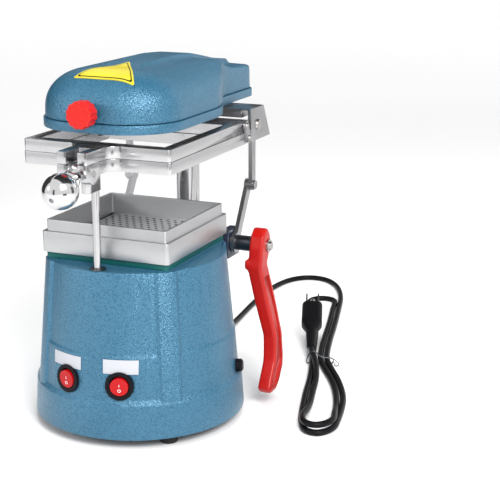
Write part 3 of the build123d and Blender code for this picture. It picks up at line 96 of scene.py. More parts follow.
class Graph:
    """The node graph of one material."""

    def __init__(self, name: str) -> None:
        """Starts an empty material with its shader and output."""
        self.material = bpy.data.materials.new(name)
        self.material.use_nodes = True
        self.tree = self.material.node_tree
        self.tree.nodes.clear()
        self.output = self.tree.nodes.new("ShaderNodeOutputMaterial")
        self.shader = self.tree.nodes.new("ShaderNodeBsdfPrincipled")
        self.tree.links.new(self.shader.outputs[0], self.output.inputs[0])
        self._place: Sock | None = None

    def node(self, kind: str, settings: dict[str, Any], values: dict[Any, Any], out: Any = 0) -> Sock:
        """Adds any node.

        Args:
            kind: the node's type.
            settings: attributes set on it first.
            values: what goes into its sockets, by name or number.
            out: the output that is wanted.

        Returns:
            The wrapped output socket.
        """
        made = self.tree.nodes.new(kind)
        for key, value in settings.items():
            setattr(made, key, value)
        for key, value in values.items():
            self._feed(made.inputs[key], value)
        return Sock(self, made.outputs[out])

    def _feed(self, socket: bpy.types.NodeSocket, value: Any) -> None:
        """Links or sets one input."""
        if isinstance(value, Sock):
            self.tree.links.new(value.socket, socket)
        elif socket.type == "RGBA" and isinstance(value, tuple) and len(value) == 3:
            socket.default_value = (*value, 1.0)
        else:
            socket.default_value = value

    def place(self) -> Sock:
        """Object coordinates, made once."""
        if self._place is None:
            self._place = self.node("ShaderNodeTexCoord", {}, {}, "Object")
        return self._place

    def stretched(self, scale: Point) -> Sock:
        """Object coordinates scaled along each axis."""
        return self.node("ShaderNodeMapping", {}, {"Vector": self.place(), "Scale": scale})

    def noise(
        self, scale: float, detail: float = 2.0, rough: float = 0.5, at: Sock | None = None
    ) -> Sock:
        """Noise between 0 and 1."""
        return self.node(
            "ShaderNodeTexNoise",
            {},
            {"Vector": at or self.place(), "Scale": scale, "Detail": detail, "Roughness": rough},
            "Fac",
        )

    def cells(self, scale: float, smooth: float = 0.6) -> Sock:
        """Distance field of soft cells, for dimples."""
        return self.node(
            "ShaderNodeTexVoronoi",
            {"feature": "SMOOTH_F1"},
            {"Vector": self.place(), "Scale": scale, "Smoothness": smooth},
            "Distance",
        )

    def mask(self, value: Sock, low: float, high: float) -> Sock:
        """Soft step of a value from 0 at low to 1 at high."""
        return self.node(
            "ShaderNodeMapRange",
            {"interpolation_type": "SMOOTHSTEP"},
            {"Value": value, "From Min": low, "From Max": high},
            "Result",
        )

    def mix(self, share: Any, first: Any, second: Any) -> Sock:
        """Mixes two colours."""
        return self.node(
            "ShaderNodeMix", {"data_type": "RGBA"}, {0: share, 6: first, 7: second}, 2
        )

    def bump(self, height: Sock, strength: float, distance: float) -> Sock:
        """Bump from a height."""
        return self.node(
            "ShaderNodeBump", {}, {"Height": height, "Strength": strength, "Distance": distance}, "Normal"
        )

    def surface(self, **values: Any) -> bpy.types.Material:
        """Sets the shader's sockets, named with underscores, and gives the material."""
        for key, value in values.items():
            self._feed(self.shader.inputs[key.replace("_", " ")], value)
        return self.material


# ---------------------------------------------------------------- finishes
class Finish:
    """Base of all finishes: each builds its material once."""

    _made: dict[str, bpy.types.Material] = {}

    def build(self, graph: Graph) -> bpy.types.Material:
        """Fills the graph; each finish has its own."""
        raise NotImplementedError

    def material(self) -> bpy.types.Material:
        """The finish's material, built at its first use."""
        key = repr(self)
        if key not in Finish._made:
            name = f"{type(self).__name__}_{len(Finish._made):02d}"
            Finish._made[key] = self.build(Graph(name))
        return Finish._made[key]


@dataclass(frozen=True)
class HammerEnamel(Finish):
    """Metallic hammertone paint: a fine pebbled skin over leafing pigment."""

    light: Colour = (0.050, 0.172, 0.270)
    deep: Colour = (0.010, 0.078, 0.148)
    cell: float = 820.0
    grit: float = 1500.0
    patch: float = 9.0
    relief: float = 0.55
    relief_depth: float = 0.0008
    metal: float = 0.30
    rough: float = 0.24
    shine: float = 0.6

    def build(self, graph: Graph) -> bpy.types.Material:
        """Builds the pebbled paint."""
        pebble = graph.cells(self.cell)
        fine = graph.noise(self.grit, 2.0, 0.6)
        cloud = graph.noise(self.patch, 3.0, 0.55)
        share = graph.mask(pebble + fine * 0.35, 0.35, 1.0)
        tint = graph.mix(share * 0.75, self.light, self.deep)
        tint = graph.mix(graph.mask(cloud, 0.35, 0.75) * 0.25, tint, self.deep)
        normal = graph.bump(pebble + fine * 0.2, self.relief, self.relief_depth)
        return graph.surface(
            Base_Color=tint, Metallic=self.metal, Roughness=fine * 0.12 + self.rough, Normal=normal,
            Specular_IOR_Level=self.shine,
        )


@dataclass(frozen=True)
class GlossEnamel(Finish):
    """Smooth sprayed paint with slight orange peel."""

    tint: Colour
    rough: float = 0.28
    metal: float = 0.0
    shine: float = 0.35
    peel: float = 420.0
    patch: float = 22.0

    def build(self, graph: Graph) -> bpy.types.Material:
        """Builds the sprayed coat."""
        peel = graph.noise(self.peel, 2.0)
        cloud = graph.noise(self.patch, 3.0)
        dark = tuple(c * 0.72 for c in self.tint)
        tint = graph.mix(graph.mask(cloud, 0.35, 0.72) * 0.5, self.tint, dark)
        return graph.surface(
            Base_Color=tint, Metallic=self.metal, Roughness=peel * 0.12 + (self.rough - 0.06),
            Normal=graph.bump(peel, 0.12, 0.0004), Specular_IOR_Level=self.shine,
        )


class Grain(Enum):
    """Direction of a drawn or ground finish, as stretch factors along X, Y and Z."""

    ALONG_X = (18.0, 1500.0, 1500.0)
    ALONG_Y = (1500.0, 18.0, 1500.0)
    ALONG_Z = (1500.0, 1500.0, 18.0)
    AROUND_Z = (40.0, 40.0, 2600.0)


@dataclass(frozen=True)
class Metal(Finish):
    """Bare or plated metal with a grain."""

    tint: Colour = (0.62, 0.62, 0.63)
    rough: float = 0.24
    grain: Grain = Grain.ALONG_Z
    relief: float = 0.05
    stain: float = 0.25
    smear: float = 38.0

    def build(self, graph: Graph) -> bpy.types.Material:
        """Builds the ground metal with faint handling marks."""
        lines = graph.noise(1.0, 2.0, 0.6, graph.stretched(self.grain.value))
        smear = graph.noise(self.smear, 4.0, 0.6)
        dull = tuple(c * 0.7 for c in self.tint)
        tint = graph.mix(graph.mask(smear, 0.45, 0.8) * self.stain, self.tint, dull)
        rough = lines * 0.14 + graph.mask(smear, 0.4, 0.8) * 0.10 + (self.rough - 0.07)
        return graph.surface(
            Base_Color=tint, Metallic=1.0, Roughness=rough,
            Normal=graph.bump(lines, self.relief, 0.0003),
        )


@dataclass(frozen=True)
class Moulded(Finish):
    """Plastic or rubber with a fine moulded grain."""

    tint: Colour
    rough: float = 0.45
    grain: float = 1400.0
    relief: float = 0.12
    dust: float = 0.1
    shine: float = 0.22
    smear: float = 46.0

    def build(self, graph: Graph) -> bpy.types.Material:
        """Builds the moulded skin."""
        skin = graph.noise(self.grain, 2.0, 0.55)
        smear = graph.noise(self.smear, 4.0, 0.6)
        pale = tuple(min(1.0, c * 1.3 + 0.004) for c in self.tint)
        tint = graph.mix(graph.mask(smear, 0.45, 0.85) * (self.dust * 3), self.tint, pale)
        return graph.surface(
            Base_Color=tint, Roughness=skin * 0.12 + smear * self.dust + (self.rough - 0.08),
            Normal=graph.bump(skin, self.relief, 0.0003), Specular_IOR_Level=self.shine,
        )


@dataclass(frozen=True)
class SatinTray(Finish):
    """Satin bead-blasted aluminium with soft vertical rubs."""

    tint: Colour = (0.47, 0.475, 0.485)
    metal: float = 0.9
    rough: float = 0.30
    grit: float = 1900.0
    rub: Point = (60.0, 60.0, 500.0)
    smear: float = 30.0

    def build(self, graph: Graph) -> bpy.types.Material:
        """Builds the blasted metal."""
        grit = graph.noise(self.grit, 2.0, 0.6)
        rub = graph.noise(1.0, 3.0, 0.6, graph.stretched(self.rub))
        smear = graph.noise(self.smear, 4.0, 0.6)
        dull = tuple(c * 0.78 for c in self.tint)
        tint = graph.mix(graph.mask(smear, 0.4, 0.8) * 0.35, self.tint, dull)
        return graph.surface(
            Base_Color=tint, Metallic=self.metal, Roughness=grit * 0.12 + rub * 0.10 + self.rough,
            Normal=graph.bump(grit + rub * 0.4, 0.10, 0.0003),
        )


BLUE = HammerEnamel()
NAVY = GlossEnamel((0.022, 0.03, 0.055), 0.3)
RED = GlossEnamel((0.40, 0.006, 0.003), 0.30)
KNOB_RED = GlossEnamel((0.52, 0.007, 0.004), 0.28)
CHROME = Metal((0.50, 0.50, 0.51), 0.20, Grain.ALONG_X, 0.02, 0.15)
CHROME_Y = Metal((0.56, 0.56, 0.57), 0.14, Grain.ALONG_Y, 0.02, 0.15)
MIRROR_BALL = Metal((0.62, 0.62, 0.63), 0.085, Grain.AROUND_Z, 0.008, 0.05)
ROD = Metal((0.46, 0.46, 0.47), 0.17, Grain.AROUND_Z, 0.04, 0.2)
BAR = Metal((0.36, 0.36, 0.37), 0.30, Grain.ALONG_Z, 0.08, 0.35)
SHAFT = Metal((0.09, 0.095, 0.105), 0.34, Grain.ALONG_X, 0.06, 0.3)
SCREW = Metal((0.42, 0.41, 0.40), 0.28, Grain.ALONG_Y, 0.04, 0.4)
HEAT = Metal((0.30, 0.27, 0.24), 0.36, Grain.ALONG_Y, 0.06, 0.6)
COIL = Metal((0.10, 0.09, 0.085), 0.5, Grain.ALONG_X, 0.1, 0.5)
TRAY = SatinTray()
# painted shade: near-black colour for the walls of the plate's holes, standing in for the shadow inside
# them
HOLE_SHADE = Moulded((0.02, 0.02, 0.022), 0.6)
SHEET = Moulded((0.50, 0.51, 0.52), 0.42, 1500.0, 0.05)
GASKET = Moulded((0.004, 0.085, 0.082), 0.42)
RUBBER = Moulded((0.016, 0.016, 0.017), 0.62)
BLACK = Moulded((0.005, 0.005, 0.007), 0.34, 1700.0, 0.08, 0.1, 0.1)
CORD = Moulded((0.004, 0.004, 0.005), 0.36, 900.0, 0.06, 0.1, 0.12)
PLUG_SKIN = Moulded((0.004, 0.004, 0.005), 0.5, 1100.0, 0.10, 0.1, 0.12)
STEELPAINT = GlossEnamel((0.10, 0.105, 0.11), 0.45)
WHITE = Moulded((0.80, 0.80, 0.80), 0.4, 1200.0, 0.02, 0.02)
LABEL = Moulded((0.44, 0.45, 0.49), 0.36, 1100.0, 0.03, 0.05)
ROCKER_RED = Moulded((0.40, 0.004, 0.006), 0.22, 1500.0, 0.03, 0.03)
YELLOW = GlossEnamel((0.56, 0.47, 0.035), 0.36, 0.0, 0.2)


# ---------------------------------------------------------------- modelling tools
def deselect() -> None:
    """Leaves edit mode and selects nothing."""
    if bpy.context.mode != "OBJECT":
        bpy.ops.object.mode_set(mode="OBJECT")
    bpy.ops.object.select_all(action="DESELECT")
    bpy.context.tool_settings.mesh_select_mode = (True, False, False)


def pick(piece: bpy.types.Object) -> None:
    """Makes a piece the only one selected, and active."""
    deselect()
    piece.select_set(True)
    bpy.context.view_layer.objects.active = piece


def pick_faces(piece: bpy.types.Object, wanted: Callable[[bpy.types.MeshPolygon], bool]) -> None:
    """Opens a piece in edit mode with only the wanted faces selected."""
    pick(piece)
    bpy.context.tool_settings.mesh_select_mode = (False, False, True)
    for face in piece.data.polygons:
        face.select = wanted(face)
    bpy.ops.object.mode_set(mode="EDIT")


def edit_all(piece: bpy.types.Object) -> None:
    """Opens a piece in edit mode with everything selected."""
    pick(piece)
    bpy.ops.object.mode_set(mode="EDIT")
    bpy.ops.mesh.select_all(action="SELECT")


def settle(name: str) -> bpy.types.Object:
    """Names the active object and applies its place to its mesh.

    Args:
        name: name of the finished piece.

    Returns:
        The piece, with its object at the origin.
    """
    piece = bpy.context.object
    if bpy.context.mode != "OBJECT":
        bpy.ops.object.mode_set(mode="OBJECT")
    piece.name = name
    piece.data.name = name
    pick(piece)
    bpy.ops.object.transform_apply(location=True, rotation=True, scale=True)
    return piece


def modify(piece: bpy.types.Object, kind: str, **settings: Any) -> None:
    """Adds one modifier and applies it."""
    pick(piece)
    modifier = piece.modifiers.new(kind.title(), kind)
    for key, value in settings.items():
        setattr(modifier, key, value)
    bpy.ops.object.modifier_apply(modifier=modifier.name)


def combine(piece: bpy.types.Object, tool: bpy.types.Object, kind: str = "DIFFERENCE") -> None:
    """Applies a boolean with a tool and removes the tool."""
    modify(piece, "BOOLEAN", operation=kind, object=tool, solver="EXACT")
    bpy.data.objects.remove(tool)


def repeat(piece: bpy.types.Object, count: int, step: Point) -> None:
    """Repeats a piece by a step in metres."""
    modify(
        piece, "ARRAY", count=count, use_relative_offset=False, use_constant_offset=True,
        constant_offset_displace=step,
    )


def lay_down(piece: bpy.types.Object, target: bpy.types.Object) -> None:
    """Projects a flat piece onto a target, against its own Z."""
    modify(
        piece, "SHRINKWRAP", target=target, wrap_method="PROJECT", use_project_z=True,
        use_negative_direction=True, use_positive_direction=False,
    )


def join(pieces: Sequence[bpy.types.Object]) -> None:
    """Joins pieces into the first of them."""
    pick(pieces[0])
    for piece in pieces:
        piece.select_set(True)
    bpy.ops.object.join()


def tidy_mesh(piece: bpy.types.Object, merge: float = 1e-6) -> None:
    """Merges doubles and turns every face outwards."""
    edit_all(piece)
    bpy.ops.mesh.remove_doubles(threshold=merge)
    bpy.ops.mesh.normals_make_consistent(inside=False)
    bpy.ops.object.mode_set(mode="OBJECT")


def sheet(
    name: str, place: Point, width: float, depth: float, turn: Sequence[float] = (0.0, 0.0, 0.0)
) -> bpy.types.Object:
    """Flat rectangle of one face.

    Args:
        name: name of the piece.
        place: its middle, in metres.
        width: its size along its own X, in metres.
        depth: its size along its own Y.
        turn: its turn about X, Y and Z.

    Returns:
        The rectangle.
    """
    deselect()
    bpy.ops.mesh.primitive_plane_add(size=1.0, location=place, rotation=turn)
    bpy.context.object.scale = (width, depth, 1.0)
    return settle(name)


def wire(name: str, route: Sequence[Any], radius: float, sides: int, steps: int) -> bpy.types.Object:
    """Round wire along a smooth curve.

    Args:
        name: name of the piece.
        route: the points that pull the curve, in metres.
        radius: radius of the wire in metres.
        sides: resolution of its section.
        steps: segments between two points.

    Returns:
        The curve object.
    """
    curve = bpy.data.curves.new(name, "CURVE")
    curve.dimensions = "3D"
    curve.bevel_depth = radius
    curve.bevel_resolution = sides
    curve.resolution_u = steps
    curve.use_fill_caps = True
    spline = curve.splines.new("NURBS")
    spline.points.add(len(route) - 1)
    for point, place in zip(spline.points, route):
        point.co = (*place, 1.0)
    spline.order_u = 3
    spline.use_endpoint_u = True
    piece = bpy.data.objects.new(name, curve)
    bpy.context.scene.collection.objects.link(piece)
    return piece


def slab(
    name: str, outline: Sequence[tuple[float, float]], axis: int, low: float, high: float
) -> bpy.types.Object:
    """Closed prism: an outline set square to an axis and extruded along it.

    Args:
        name: name of the piece.
        outline: its corners in millimetres, in the order of the two other axes.
        axis: 0, 1 or 2 for x, y or z.
        low: where the prism starts on the axis, in millimetres.
        high: where it ends.

    Returns:
        The prism.
    """
    deselect()
    bpy.ops.mesh.primitive_circle_add(vertices=len(outline), radius=0.1, fill_type="NGON")
    piece = settle(name)
    for vertex, (first, second) in zip(piece.data.vertices, outline):
        place = [first * MM, second * MM]
        place.insert(axis, low * MM)
        vertex.co = place
    run = [0.0, 0.0, 0.0]
    run[axis] = (high - low) * MM
    edit_all(piece)
    bpy.ops.mesh.extrude_region_move(TRANSFORM_OT_translate={"value": run})
    bpy.ops.object.mode_set(mode="OBJECT")
    tidy_mesh(piece)
    return piece


def rounded(node: str, voxel: float, passes: int) -> bpy.types.Object:
    """Copies a CAD node as an even mesh and rounds its edges by smoothing.

    Args:
        node: the CAD node.
        voxel: mesh size in millimetres.
        passes: smoothing passes.

    Returns:
        The new piece, not yet dressed.
    """
    piece = softened(node, 0.0)
    modify(piece, "REMESH", mode="VOXEL", voxel_size=voxel * MM)
    modify(piece, "SMOOTH", factor=0.5, iterations=passes)
    return piece


def dress(
    piece: bpy.types.Object,
    finish: Finish,
    body: str,
    nodes: Iterable[str] = (),
    smooth: float = SHARP,
) -> bpy.types.Object:
    """Gives a finished piece its finish, its body and what it stands for.

    Args:
        piece: the modelled piece.
        finish: its finish.
        body: CAD body that it rides on.
        nodes: CAD nodes that it replaces.
        smooth: angle in degrees under which edges are shaded smooth.

    Returns:
        The piece.
    """
    piece.data.materials.clear()
    piece.data.materials.append(finish.material())
    if piece.type == "MESH":
        pick(piece)
        bpy.ops.object.shade_smooth_by_angle(angle=math.radians(smooth))
    deselect()
    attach(piece, body)
    if nodes:
        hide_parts(*nodes)
    LOG.info("%s on %s", piece.name, body)
    return piece


def softened(node: str, width: float) -> bpy.types.Object:
    """Copies a CAD node's mesh, merges it and breaks its sharp edges.

    Args:
        node: the CAD node.
        width: bevel width in metres, or 0 to leave the edges.

    Returns:
        The new piece, not yet dressed.
    """
    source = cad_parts[node]
    piece = bpy.data.objects.new(f"{node}_form", source.data.copy())
    bpy.context.scene.collection.objects.link(piece)
    edit_all(piece)
    bpy.ops.mesh.remove_doubles(threshold=WELD)
    bpy.ops.mesh.dissolve_limited(angle_limit=math.radians(0.5))
    bpy.ops.object.mode_set(mode="OBJECT")
    if width:
        modify(
            piece, "BEVEL", width=width, segments=2, limit_method="ANGLE",
            angle_limit=math.radians(SHARP), use_clamp_overlap=False, miter_outer="MITER_SHARP",
        )
    return piece


# ---------------------------------------------------------------- studio
@dataclass
class Studio:
    """Floor, lights and camera."""

    floor_size: float = 12.0
    floor_tint: Colour = (0.94, 0.94, 0.94)
    eye: Point = (0.5452, -1.0220, 0.4677)
    aim: Point = (0.1119, -0.0003, 0.1674)
    card_aim: Point = (0.0, 0.0, 0.2)
    lamp_aim: Point = (0.0, 0.0, 0.17)
    lens: float = 94.03
    sensor: float = 36.0
    sky: Colour = (1.0, 1.0, 1.0)
    sky_strength: float = 1.08

    def build(self) -> None:
        """Builds the whole studio."""
        self._floor()
        self._camera()
        self._world()
        self._card("card_back", (-0.75, 1.75, 0.62), 1.9, 0.85)
        self._card("card_left", (-1.05, 0.20, 0.60), 1.3, 1.3, True)
        self._card("card_over", (0.20, 0.70, 2.10), 3.0, 2.6, True)
        self._card("card_right", (1.45, 0.45, 0.45), 0.5, 0.9)
        self._card("card_front", (-0.25, -1.45, 0.35), 0.28, 0.7)
        self._card("card_low", (0.75, -0.62, 0.10), 0.35, 0.2)
        self._softbox("key_right", (1.05, -0.95, 1.25), 0.8, 31.0, (1.0, 0.985, 0.97))
        self._softbox("fill_left", (-1.25, -1.10, 0.75), 0.30, 5.0, (0.97, 0.985, 1.0))
        self._softbox("top", (0.05, 0.15, 1.70), 0.7, 15.0, (1.0, 1.0, 1.0), False)
        bpy.context.scene.view_settings.view_transform = "Standard"

    def _floor(self) -> None:
        """Pale floor."""
        deselect()
        bpy.ops.mesh.primitive_plane_add(size=self.floor_size, location=(0, 0, 0))
        floor = settle("studio_floor")
        graph = Graph("studio_paper")
        cloud = graph.noise(1.2, 2.0)
        dark = tuple(c * 0.985 for c in self.floor_tint)
        floor.data.materials.append(
            graph.surface(Base_Color=graph.mix(cloud, self.floor_tint, dark), Roughness=0.75)
        )

    def _card(
        self, name: str, place: Point, width: float, height: float, shades: bool = False
    ) -> None:
        """Dark card that faces the middle and shows in polished surfaces, or also shades."""
        turn = (Vector(self.card_aim) - Vector(place)).to_track_quat("Z", "Y").to_euler()
        card = sheet(name, place, width, height, turn)
        graph = Graph(f"{name}_felt")
        felt = graph.noise(40.0) * 0.02 + 0.01
        card.data.materials.append(graph.surface(Base_Color=felt, Roughness=0.9))
        card.visible_camera = False
        card.visible_diffuse = shades
        card.visible_shadow = False

    def _camera(self) -> None:
        """Camera at the viewing angle."""
        data = bpy.data.cameras.new("view")
        data.lens = self.lens
        data.sensor_width = self.sensor
        data.clip_start = 0.05
        camera = bpy.data.objects.new("view", data)
        bpy.context.scene.collection.objects.link(camera)
        eye = Vector(self.eye)
        camera.location = eye
        camera.rotation_euler = (Vector(self.aim) - eye).to_track_quat("-Z", "Y").to_euler()
        bpy.context.scene.camera = camera

    def _world(self) -> None:
        """Even white surroundings."""
        world = bpy.data.worlds.new("studio")
        bpy.context.scene.world = world
        world.use_nodes = True
        sky = world.node_tree.nodes["Background"]
        sky.inputs[0].default_value = (*self.sky, 1.0)
        sky.inputs[1].default_value = self.sky_strength

    def _softbox(
        self, name: str, place: Point, size: float, power: float, tint: Colour, shows: bool = True
    ) -> None:
        """One area light aimed at the object's middle; it shows in polished surfaces or not."""
        data = bpy.data.lights.new(name, "AREA")
        data.shape = "SQUARE"
        data.size = size
        data.energy = power
        data.color = tint
        lamp = bpy.data.objects.new(name, data)
        lamp.location = place
        lamp.visible_glossy = shows
        aim = Vector(self.lamp_aim) - Vector(place)
        lamp.rotation_euler = aim.to_track_quat("-Z", "Y").to_euler()
        bpy.context.scene.collection.objects.link(lamp)


# ---------------------------------------------------------------- power cord
@dataclass
class PowerCord:
    """Mains lead on the table: runs back from the gland, loops and is tied in a hank."""

    diameter: float = 0.006
    length: float = 1.88
    exit: Point = (0.0, 0.163, 0.036)
    run: tuple[Point, ...] = (
        (0, 163, 36), (0, 184, 36), (-7, 212, 19), (-15, 242, 6), (-21, 280, 3), (-26, 322, 3),
        (-30, 364, 3), (-31, 408, 3), (-25, 446, 3), (-8, 467, 3), (15, 468, 3), (34, 453, 3),
        (49, 429, 3), (62, 397, 3),
    )
    first_turn: tuple[Point, ...] = (
        (72, 360, 3), (82, 323, 3), (91, 288, 3), (99, 255, 3), (108, 221, 3), (117.5, 190, 3),
        (132.5, 164, 3), (147.5, 140, 3), (160.5, 115, 3), (171, 90, 3), (178, 63, 3), (182.5, 40.5, 3),
        (186, 20, 3), (177.5, 2.5, 3), (163.5, 4.5, 3), (154, 20, 3), (147, 39, 3), (139.5, 64, 3),
        (130.5, 95, 3), (122.5, 127, 3), (113, 158, 3), (102, 190, 3), (91, 226, 3), (79, 263, 3),
        (65, 301, 3), (50, 338, 3), (32, 364, 3), (30.5, 380, 3), (39.5, 390.5, 3), (52.5, 390.5, 3),
        (60.5, 382, 3),
    )
    second_turn: tuple[Point, ...] = (
        (64.5, 361, 3), (76, 320, 3), (85, 285, 3), (93, 252, 3), (102, 218, 3), (111.5, 187, 3),
        (127, 160.5, 3), (142, 136.5, 3), (154.5, 112, 3), (164.5, 87.5, 3), (172, 64.5, 4),
        (178.5, 42, 8), (184.5, 22, 9.4), (176, 5, 9.6), (162, 6, 9.6), (153.5, 22, 9.2),
        (151, 42, 6.5), (145, 68, 3), (136.5, 98, 3), (128.5, 129, 3), (119, 156, 6), (110, 174, 10),
        (103.5, 184, 10.5), (98, 196, 11),
    )
    tie_turn: float = 21.0
    tie_radius: float = 0.4
    tie_laps: tuple[float, float] = (0.4, -1.6)
    # one lap of the tie: across the hank, height
    lap: tuple[tuple[float, float], ...] = (
        (13.6, 5.0), (13.9, 1.2), (9.0, 0.55), (-9.0, 0.55), (-14.2, 1.2), (-14.0, 5.2),
        (-11.2, 11.5), (-7.0, 14.2), (-3.4, 12.2), (0.5, 7.6), (9.0, 6.9), (13.0, 6.2),
    )
    # the tie's free end: across the hank, along it, height
    tie_end: tuple[Point, ...] = (
        (15.0, -2.5, 5.4), (18.0, -4.6, 3.4), (19.5, -8.0, 2.0), (17.0, -10.5, 1.2), (14.2, -8.2, 1.4),
        (15.6, -4.6, 3.0),
    )

    def build(self) -> None:
        """Builds the lead with its plug and tie."""
        pieces = [self._plug(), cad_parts["plug_prongs"], self._tie()]
        lead = self._lead()

    def _lead(self) -> bpy.types.Object:
        """The lead as one smooth curve."""
        points = (*self.run, *self.first_turn, *self.second_turn)
        route = [tuple(c * MM for c in point) for point in points]
        lead = wire("mains_lead", route, self.diameter / 2, 4, 10)
        return dress(lead, CORD, "base", ("power_cord", "plug_tail", "cord_hank"))

    def _plug(self) -> bpy.types.Object:
        """The moulded plug with softened edges."""
        plug = rounded("plug_body", 0.7, 10)
        return dress(plug, PLUG_SKIN, "base", ("plug_body",), ROUND)

    def _tie(self) -> bpy.types.Object:
        """Wire tie twisted round the waist of the hank."""
        low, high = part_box("cord_tie")
        middle = Vector(((low[0] + high[0]) / 2, (low[1] + high[1]) / 2, 0.0))
        turn = math.radians(self.tie_turn)
        across = Vector((math.cos(turn), math.sin(turn), 0.0))
        along = Vector((-across.y, across.x, 0.0))
        points = [(u, v, z) for v in self.tie_laps for u, z in self.lap] + list(self.tie_end)
        route = [
            middle + across * (u * MM) + along * (v * MM) + Vector((0, 0, z * MM)) for u, v, z in points
        ]
        pick(wire("wire_tie", route, self.tie_radius * MM, 2, 12))
        bpy.ops.object.convert(target="MESH")
        return dress(bpy.context.object, SHAFT, "base", ("cord_tie",))


# ---------------------------------------------------------------- cover of the heater head
@dataclass
class DomedCover:
    """Cover of the head: a shell with full round shoulders, a raised spine and a lower rear lobe.

    All sizes are in millimetres; heights are above the seam.
    """

    half: float = 63.9
    front: float = -80.4
    back: float = 180.4
    corner: float = 48.4
    neck: tuple[tuple[float, float], ...] = (
        (63.9, 34), (63.2, 44), (60.2, 56), (54.8, 70), (48.6, 83), (43.6, 95), (41.0, 104),
        (40.4, 112),
    )
    lobe: tuple[tuple[float, float], ...] = ((40.4, 166), (38.2, 173.5), (33, 178.8), (26, 180.4))
    wall: float = 9.0
    crown: float = 41.3
    shoulder: float = 40.0
    tail: tuple[tuple[float, float], ...] = (
        (20, 41.3), (45, 41.0), (75, 39.2), (98, 35.2), (116, 29.0), (132, 25.2), (150, 24.0),
        (172, 23.4), (180.4, 19.5),
    )
    spine_half: float = 17.5
    spine: tuple[tuple[float, float], ...] = (
        (-44, 36.0), (-28, 40.6), (-8, 43.6), (15, 44.6), (50, 44.6), (84, 42.4), (112, 37.0),
        (140, 31.2), (164, 28.6), (169, 24), (160, 15), (-30, 30),
    )
    steps: int = 14
    voxel: float = 1.2
    thickness: float = 1.6
    # how far the block and the tools that cut it reach past the cover
    block_back: float = 260.0
    block_under: float = 4.0
    tool_top: float = 60.0
    tool_side: float = 80.0
    tool_front: float = -90.0
    tool_under: float = -5.0
    # smoothing starts over the rim and stays off the spine, each with a soft edge
    rim: float = 3.0
    rim_fade: float = 5.0
    ridge: float = 23.0
    ridge_fade: float = 7.0
    side_passes: int = 60
    skin_passes: int = 5
    opening: float = 1.5

    def build(self) -> None:
        """Builds the cover."""
        low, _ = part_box("head_cover")
        seam = low[2] / MM
        cover = self._dome(seam)
        for tool, kind in (
            (slab("cover_plan", self._plan(), 2, seam, seam + self.tool_top), "INTERSECT"),
            (self._side("cover_profile", self._profile(), seam, self.tool_side), "INTERSECT"),
            (self._side("cover_spine", self.spine, seam, self.spine_half), "UNION"),
        ):
            combine(cover, tool, kind)
        modify(cover, "REMESH", mode="VOXEL", voxel_size=self.voxel * MM)
        self._soften(cover, low[2])
        self._hollow(cover, low[2])
        dress(cover, BLUE, "heater_head", ("head_cover",), ROUND)

    def _side(
        self, name: str, outline: Iterable[tuple[float, float]], seam: float, half: float
    ) -> bpy.types.Object:
        """Prism across the cover from an outline of y and height over the seam."""
        return slab(name, [(y, seam + rise) for y, rise in outline], 0, -half, half)

    def _front(self) -> list[tuple[float, float]]:
        """Right half of the front: a straight run and the large corner."""
        side = []
        for step in range(self.steps + 1):
            turn = math.radians(-90 + 90 * step / self.steps)
            side.append((
                self.half - self.corner + self.corner * math.cos(turn),
                self.front + self.corner + self.corner * math.sin(turn),
            ))
        return side

    def _dome(self, seam: float) -> bpy.types.Object:
        """Block with upright walls whose top is stepped inwards as quarter ellipses."""
        side = [*self._front(), (self.half, self.block_back)]
        outline = side + [(-x, y) for x, y in reversed(side)]
        dome = slab("head_cover_form", outline, 2, seam - self.block_under, seam + self.wall)
        pick_faces(dome, lambda face: face.normal.z > 0.9)
        before = (0.0, 0.0)
        for step in range(1, self.steps + 1):
            turn = math.pi / 2 * step / self.steps
            after = (
                self.shoulder * (1 - math.cos(turn)), (self.crown - self.wall) * math.sin(turn)
            )
            bpy.ops.mesh.inset(
                thickness=(after[0] - before[0]) * MM, depth=(after[1] - before[1]) * MM
            )
            before = after
        bpy.ops.object.mode_set(mode="OBJECT")
        tidy_mesh(dome)
        return dome

    def _plan(self) -> list[tuple[float, float]]:
        """Outline from above, mirrored about the middle."""
        side = [*self._front(), *self.neck, *self.lobe]
        return side + [(-x, y) for x, y in reversed(side)]

    def _profile(self) -> list[tuple[float, float]]:
        """Outline from the side: level crown and falling tail."""
        under, ahead = self.tool_under, self.tool_front
        return [(self.back, under), (ahead, under), (ahead, self.crown), *self.tail]

    def _soften(self, cover: bpy.types.Object, seam: float) -> None:
        """Smooths the creases, less along the spine, and leaves the lower rim alone."""
        skin = cover.vertex_groups.new(name="skin")
        sides = cover.vertex_groups.new(name="sides")
        for vertex in cover.data.vertices:
            above = (vertex.co.z - seam) / MM
            aside = abs(vertex.co.x) / MM
            share = min(1.0, max(0.0, (above - self.rim) / self.rim_fade))
            away = min(1.0, max(0.0, (aside - self.ridge) / self.ridge_fade))
            skin.add([vertex.index], share, "REPLACE")
            sides.add([vertex.index], share * away, "REPLACE")
        modify(cover, "SMOOTH", factor=0.5, iterations=self.side_passes, vertex_group="sides")
        modify(cover, "SMOOTH", factor=0.5, iterations=self.skin_passes, vertex_group="skin")

    def _hollow(self, cover: bpy.types.Object, seam: float) -> None:
        """Opens the underside and gives the shell its thickness."""
        top = seam + self.opening * MM
        pick_faces(cover, lambda face: face.center.z < top and face.normal.z < -0.6)
        bpy.ops.mesh.delete(type="FACE")
        bpy.ops.object.mode_set(mode="OBJECT")
        modify(cover, "SOLIDIFY", thickness=self.thickness * MM, offset=-1.0)


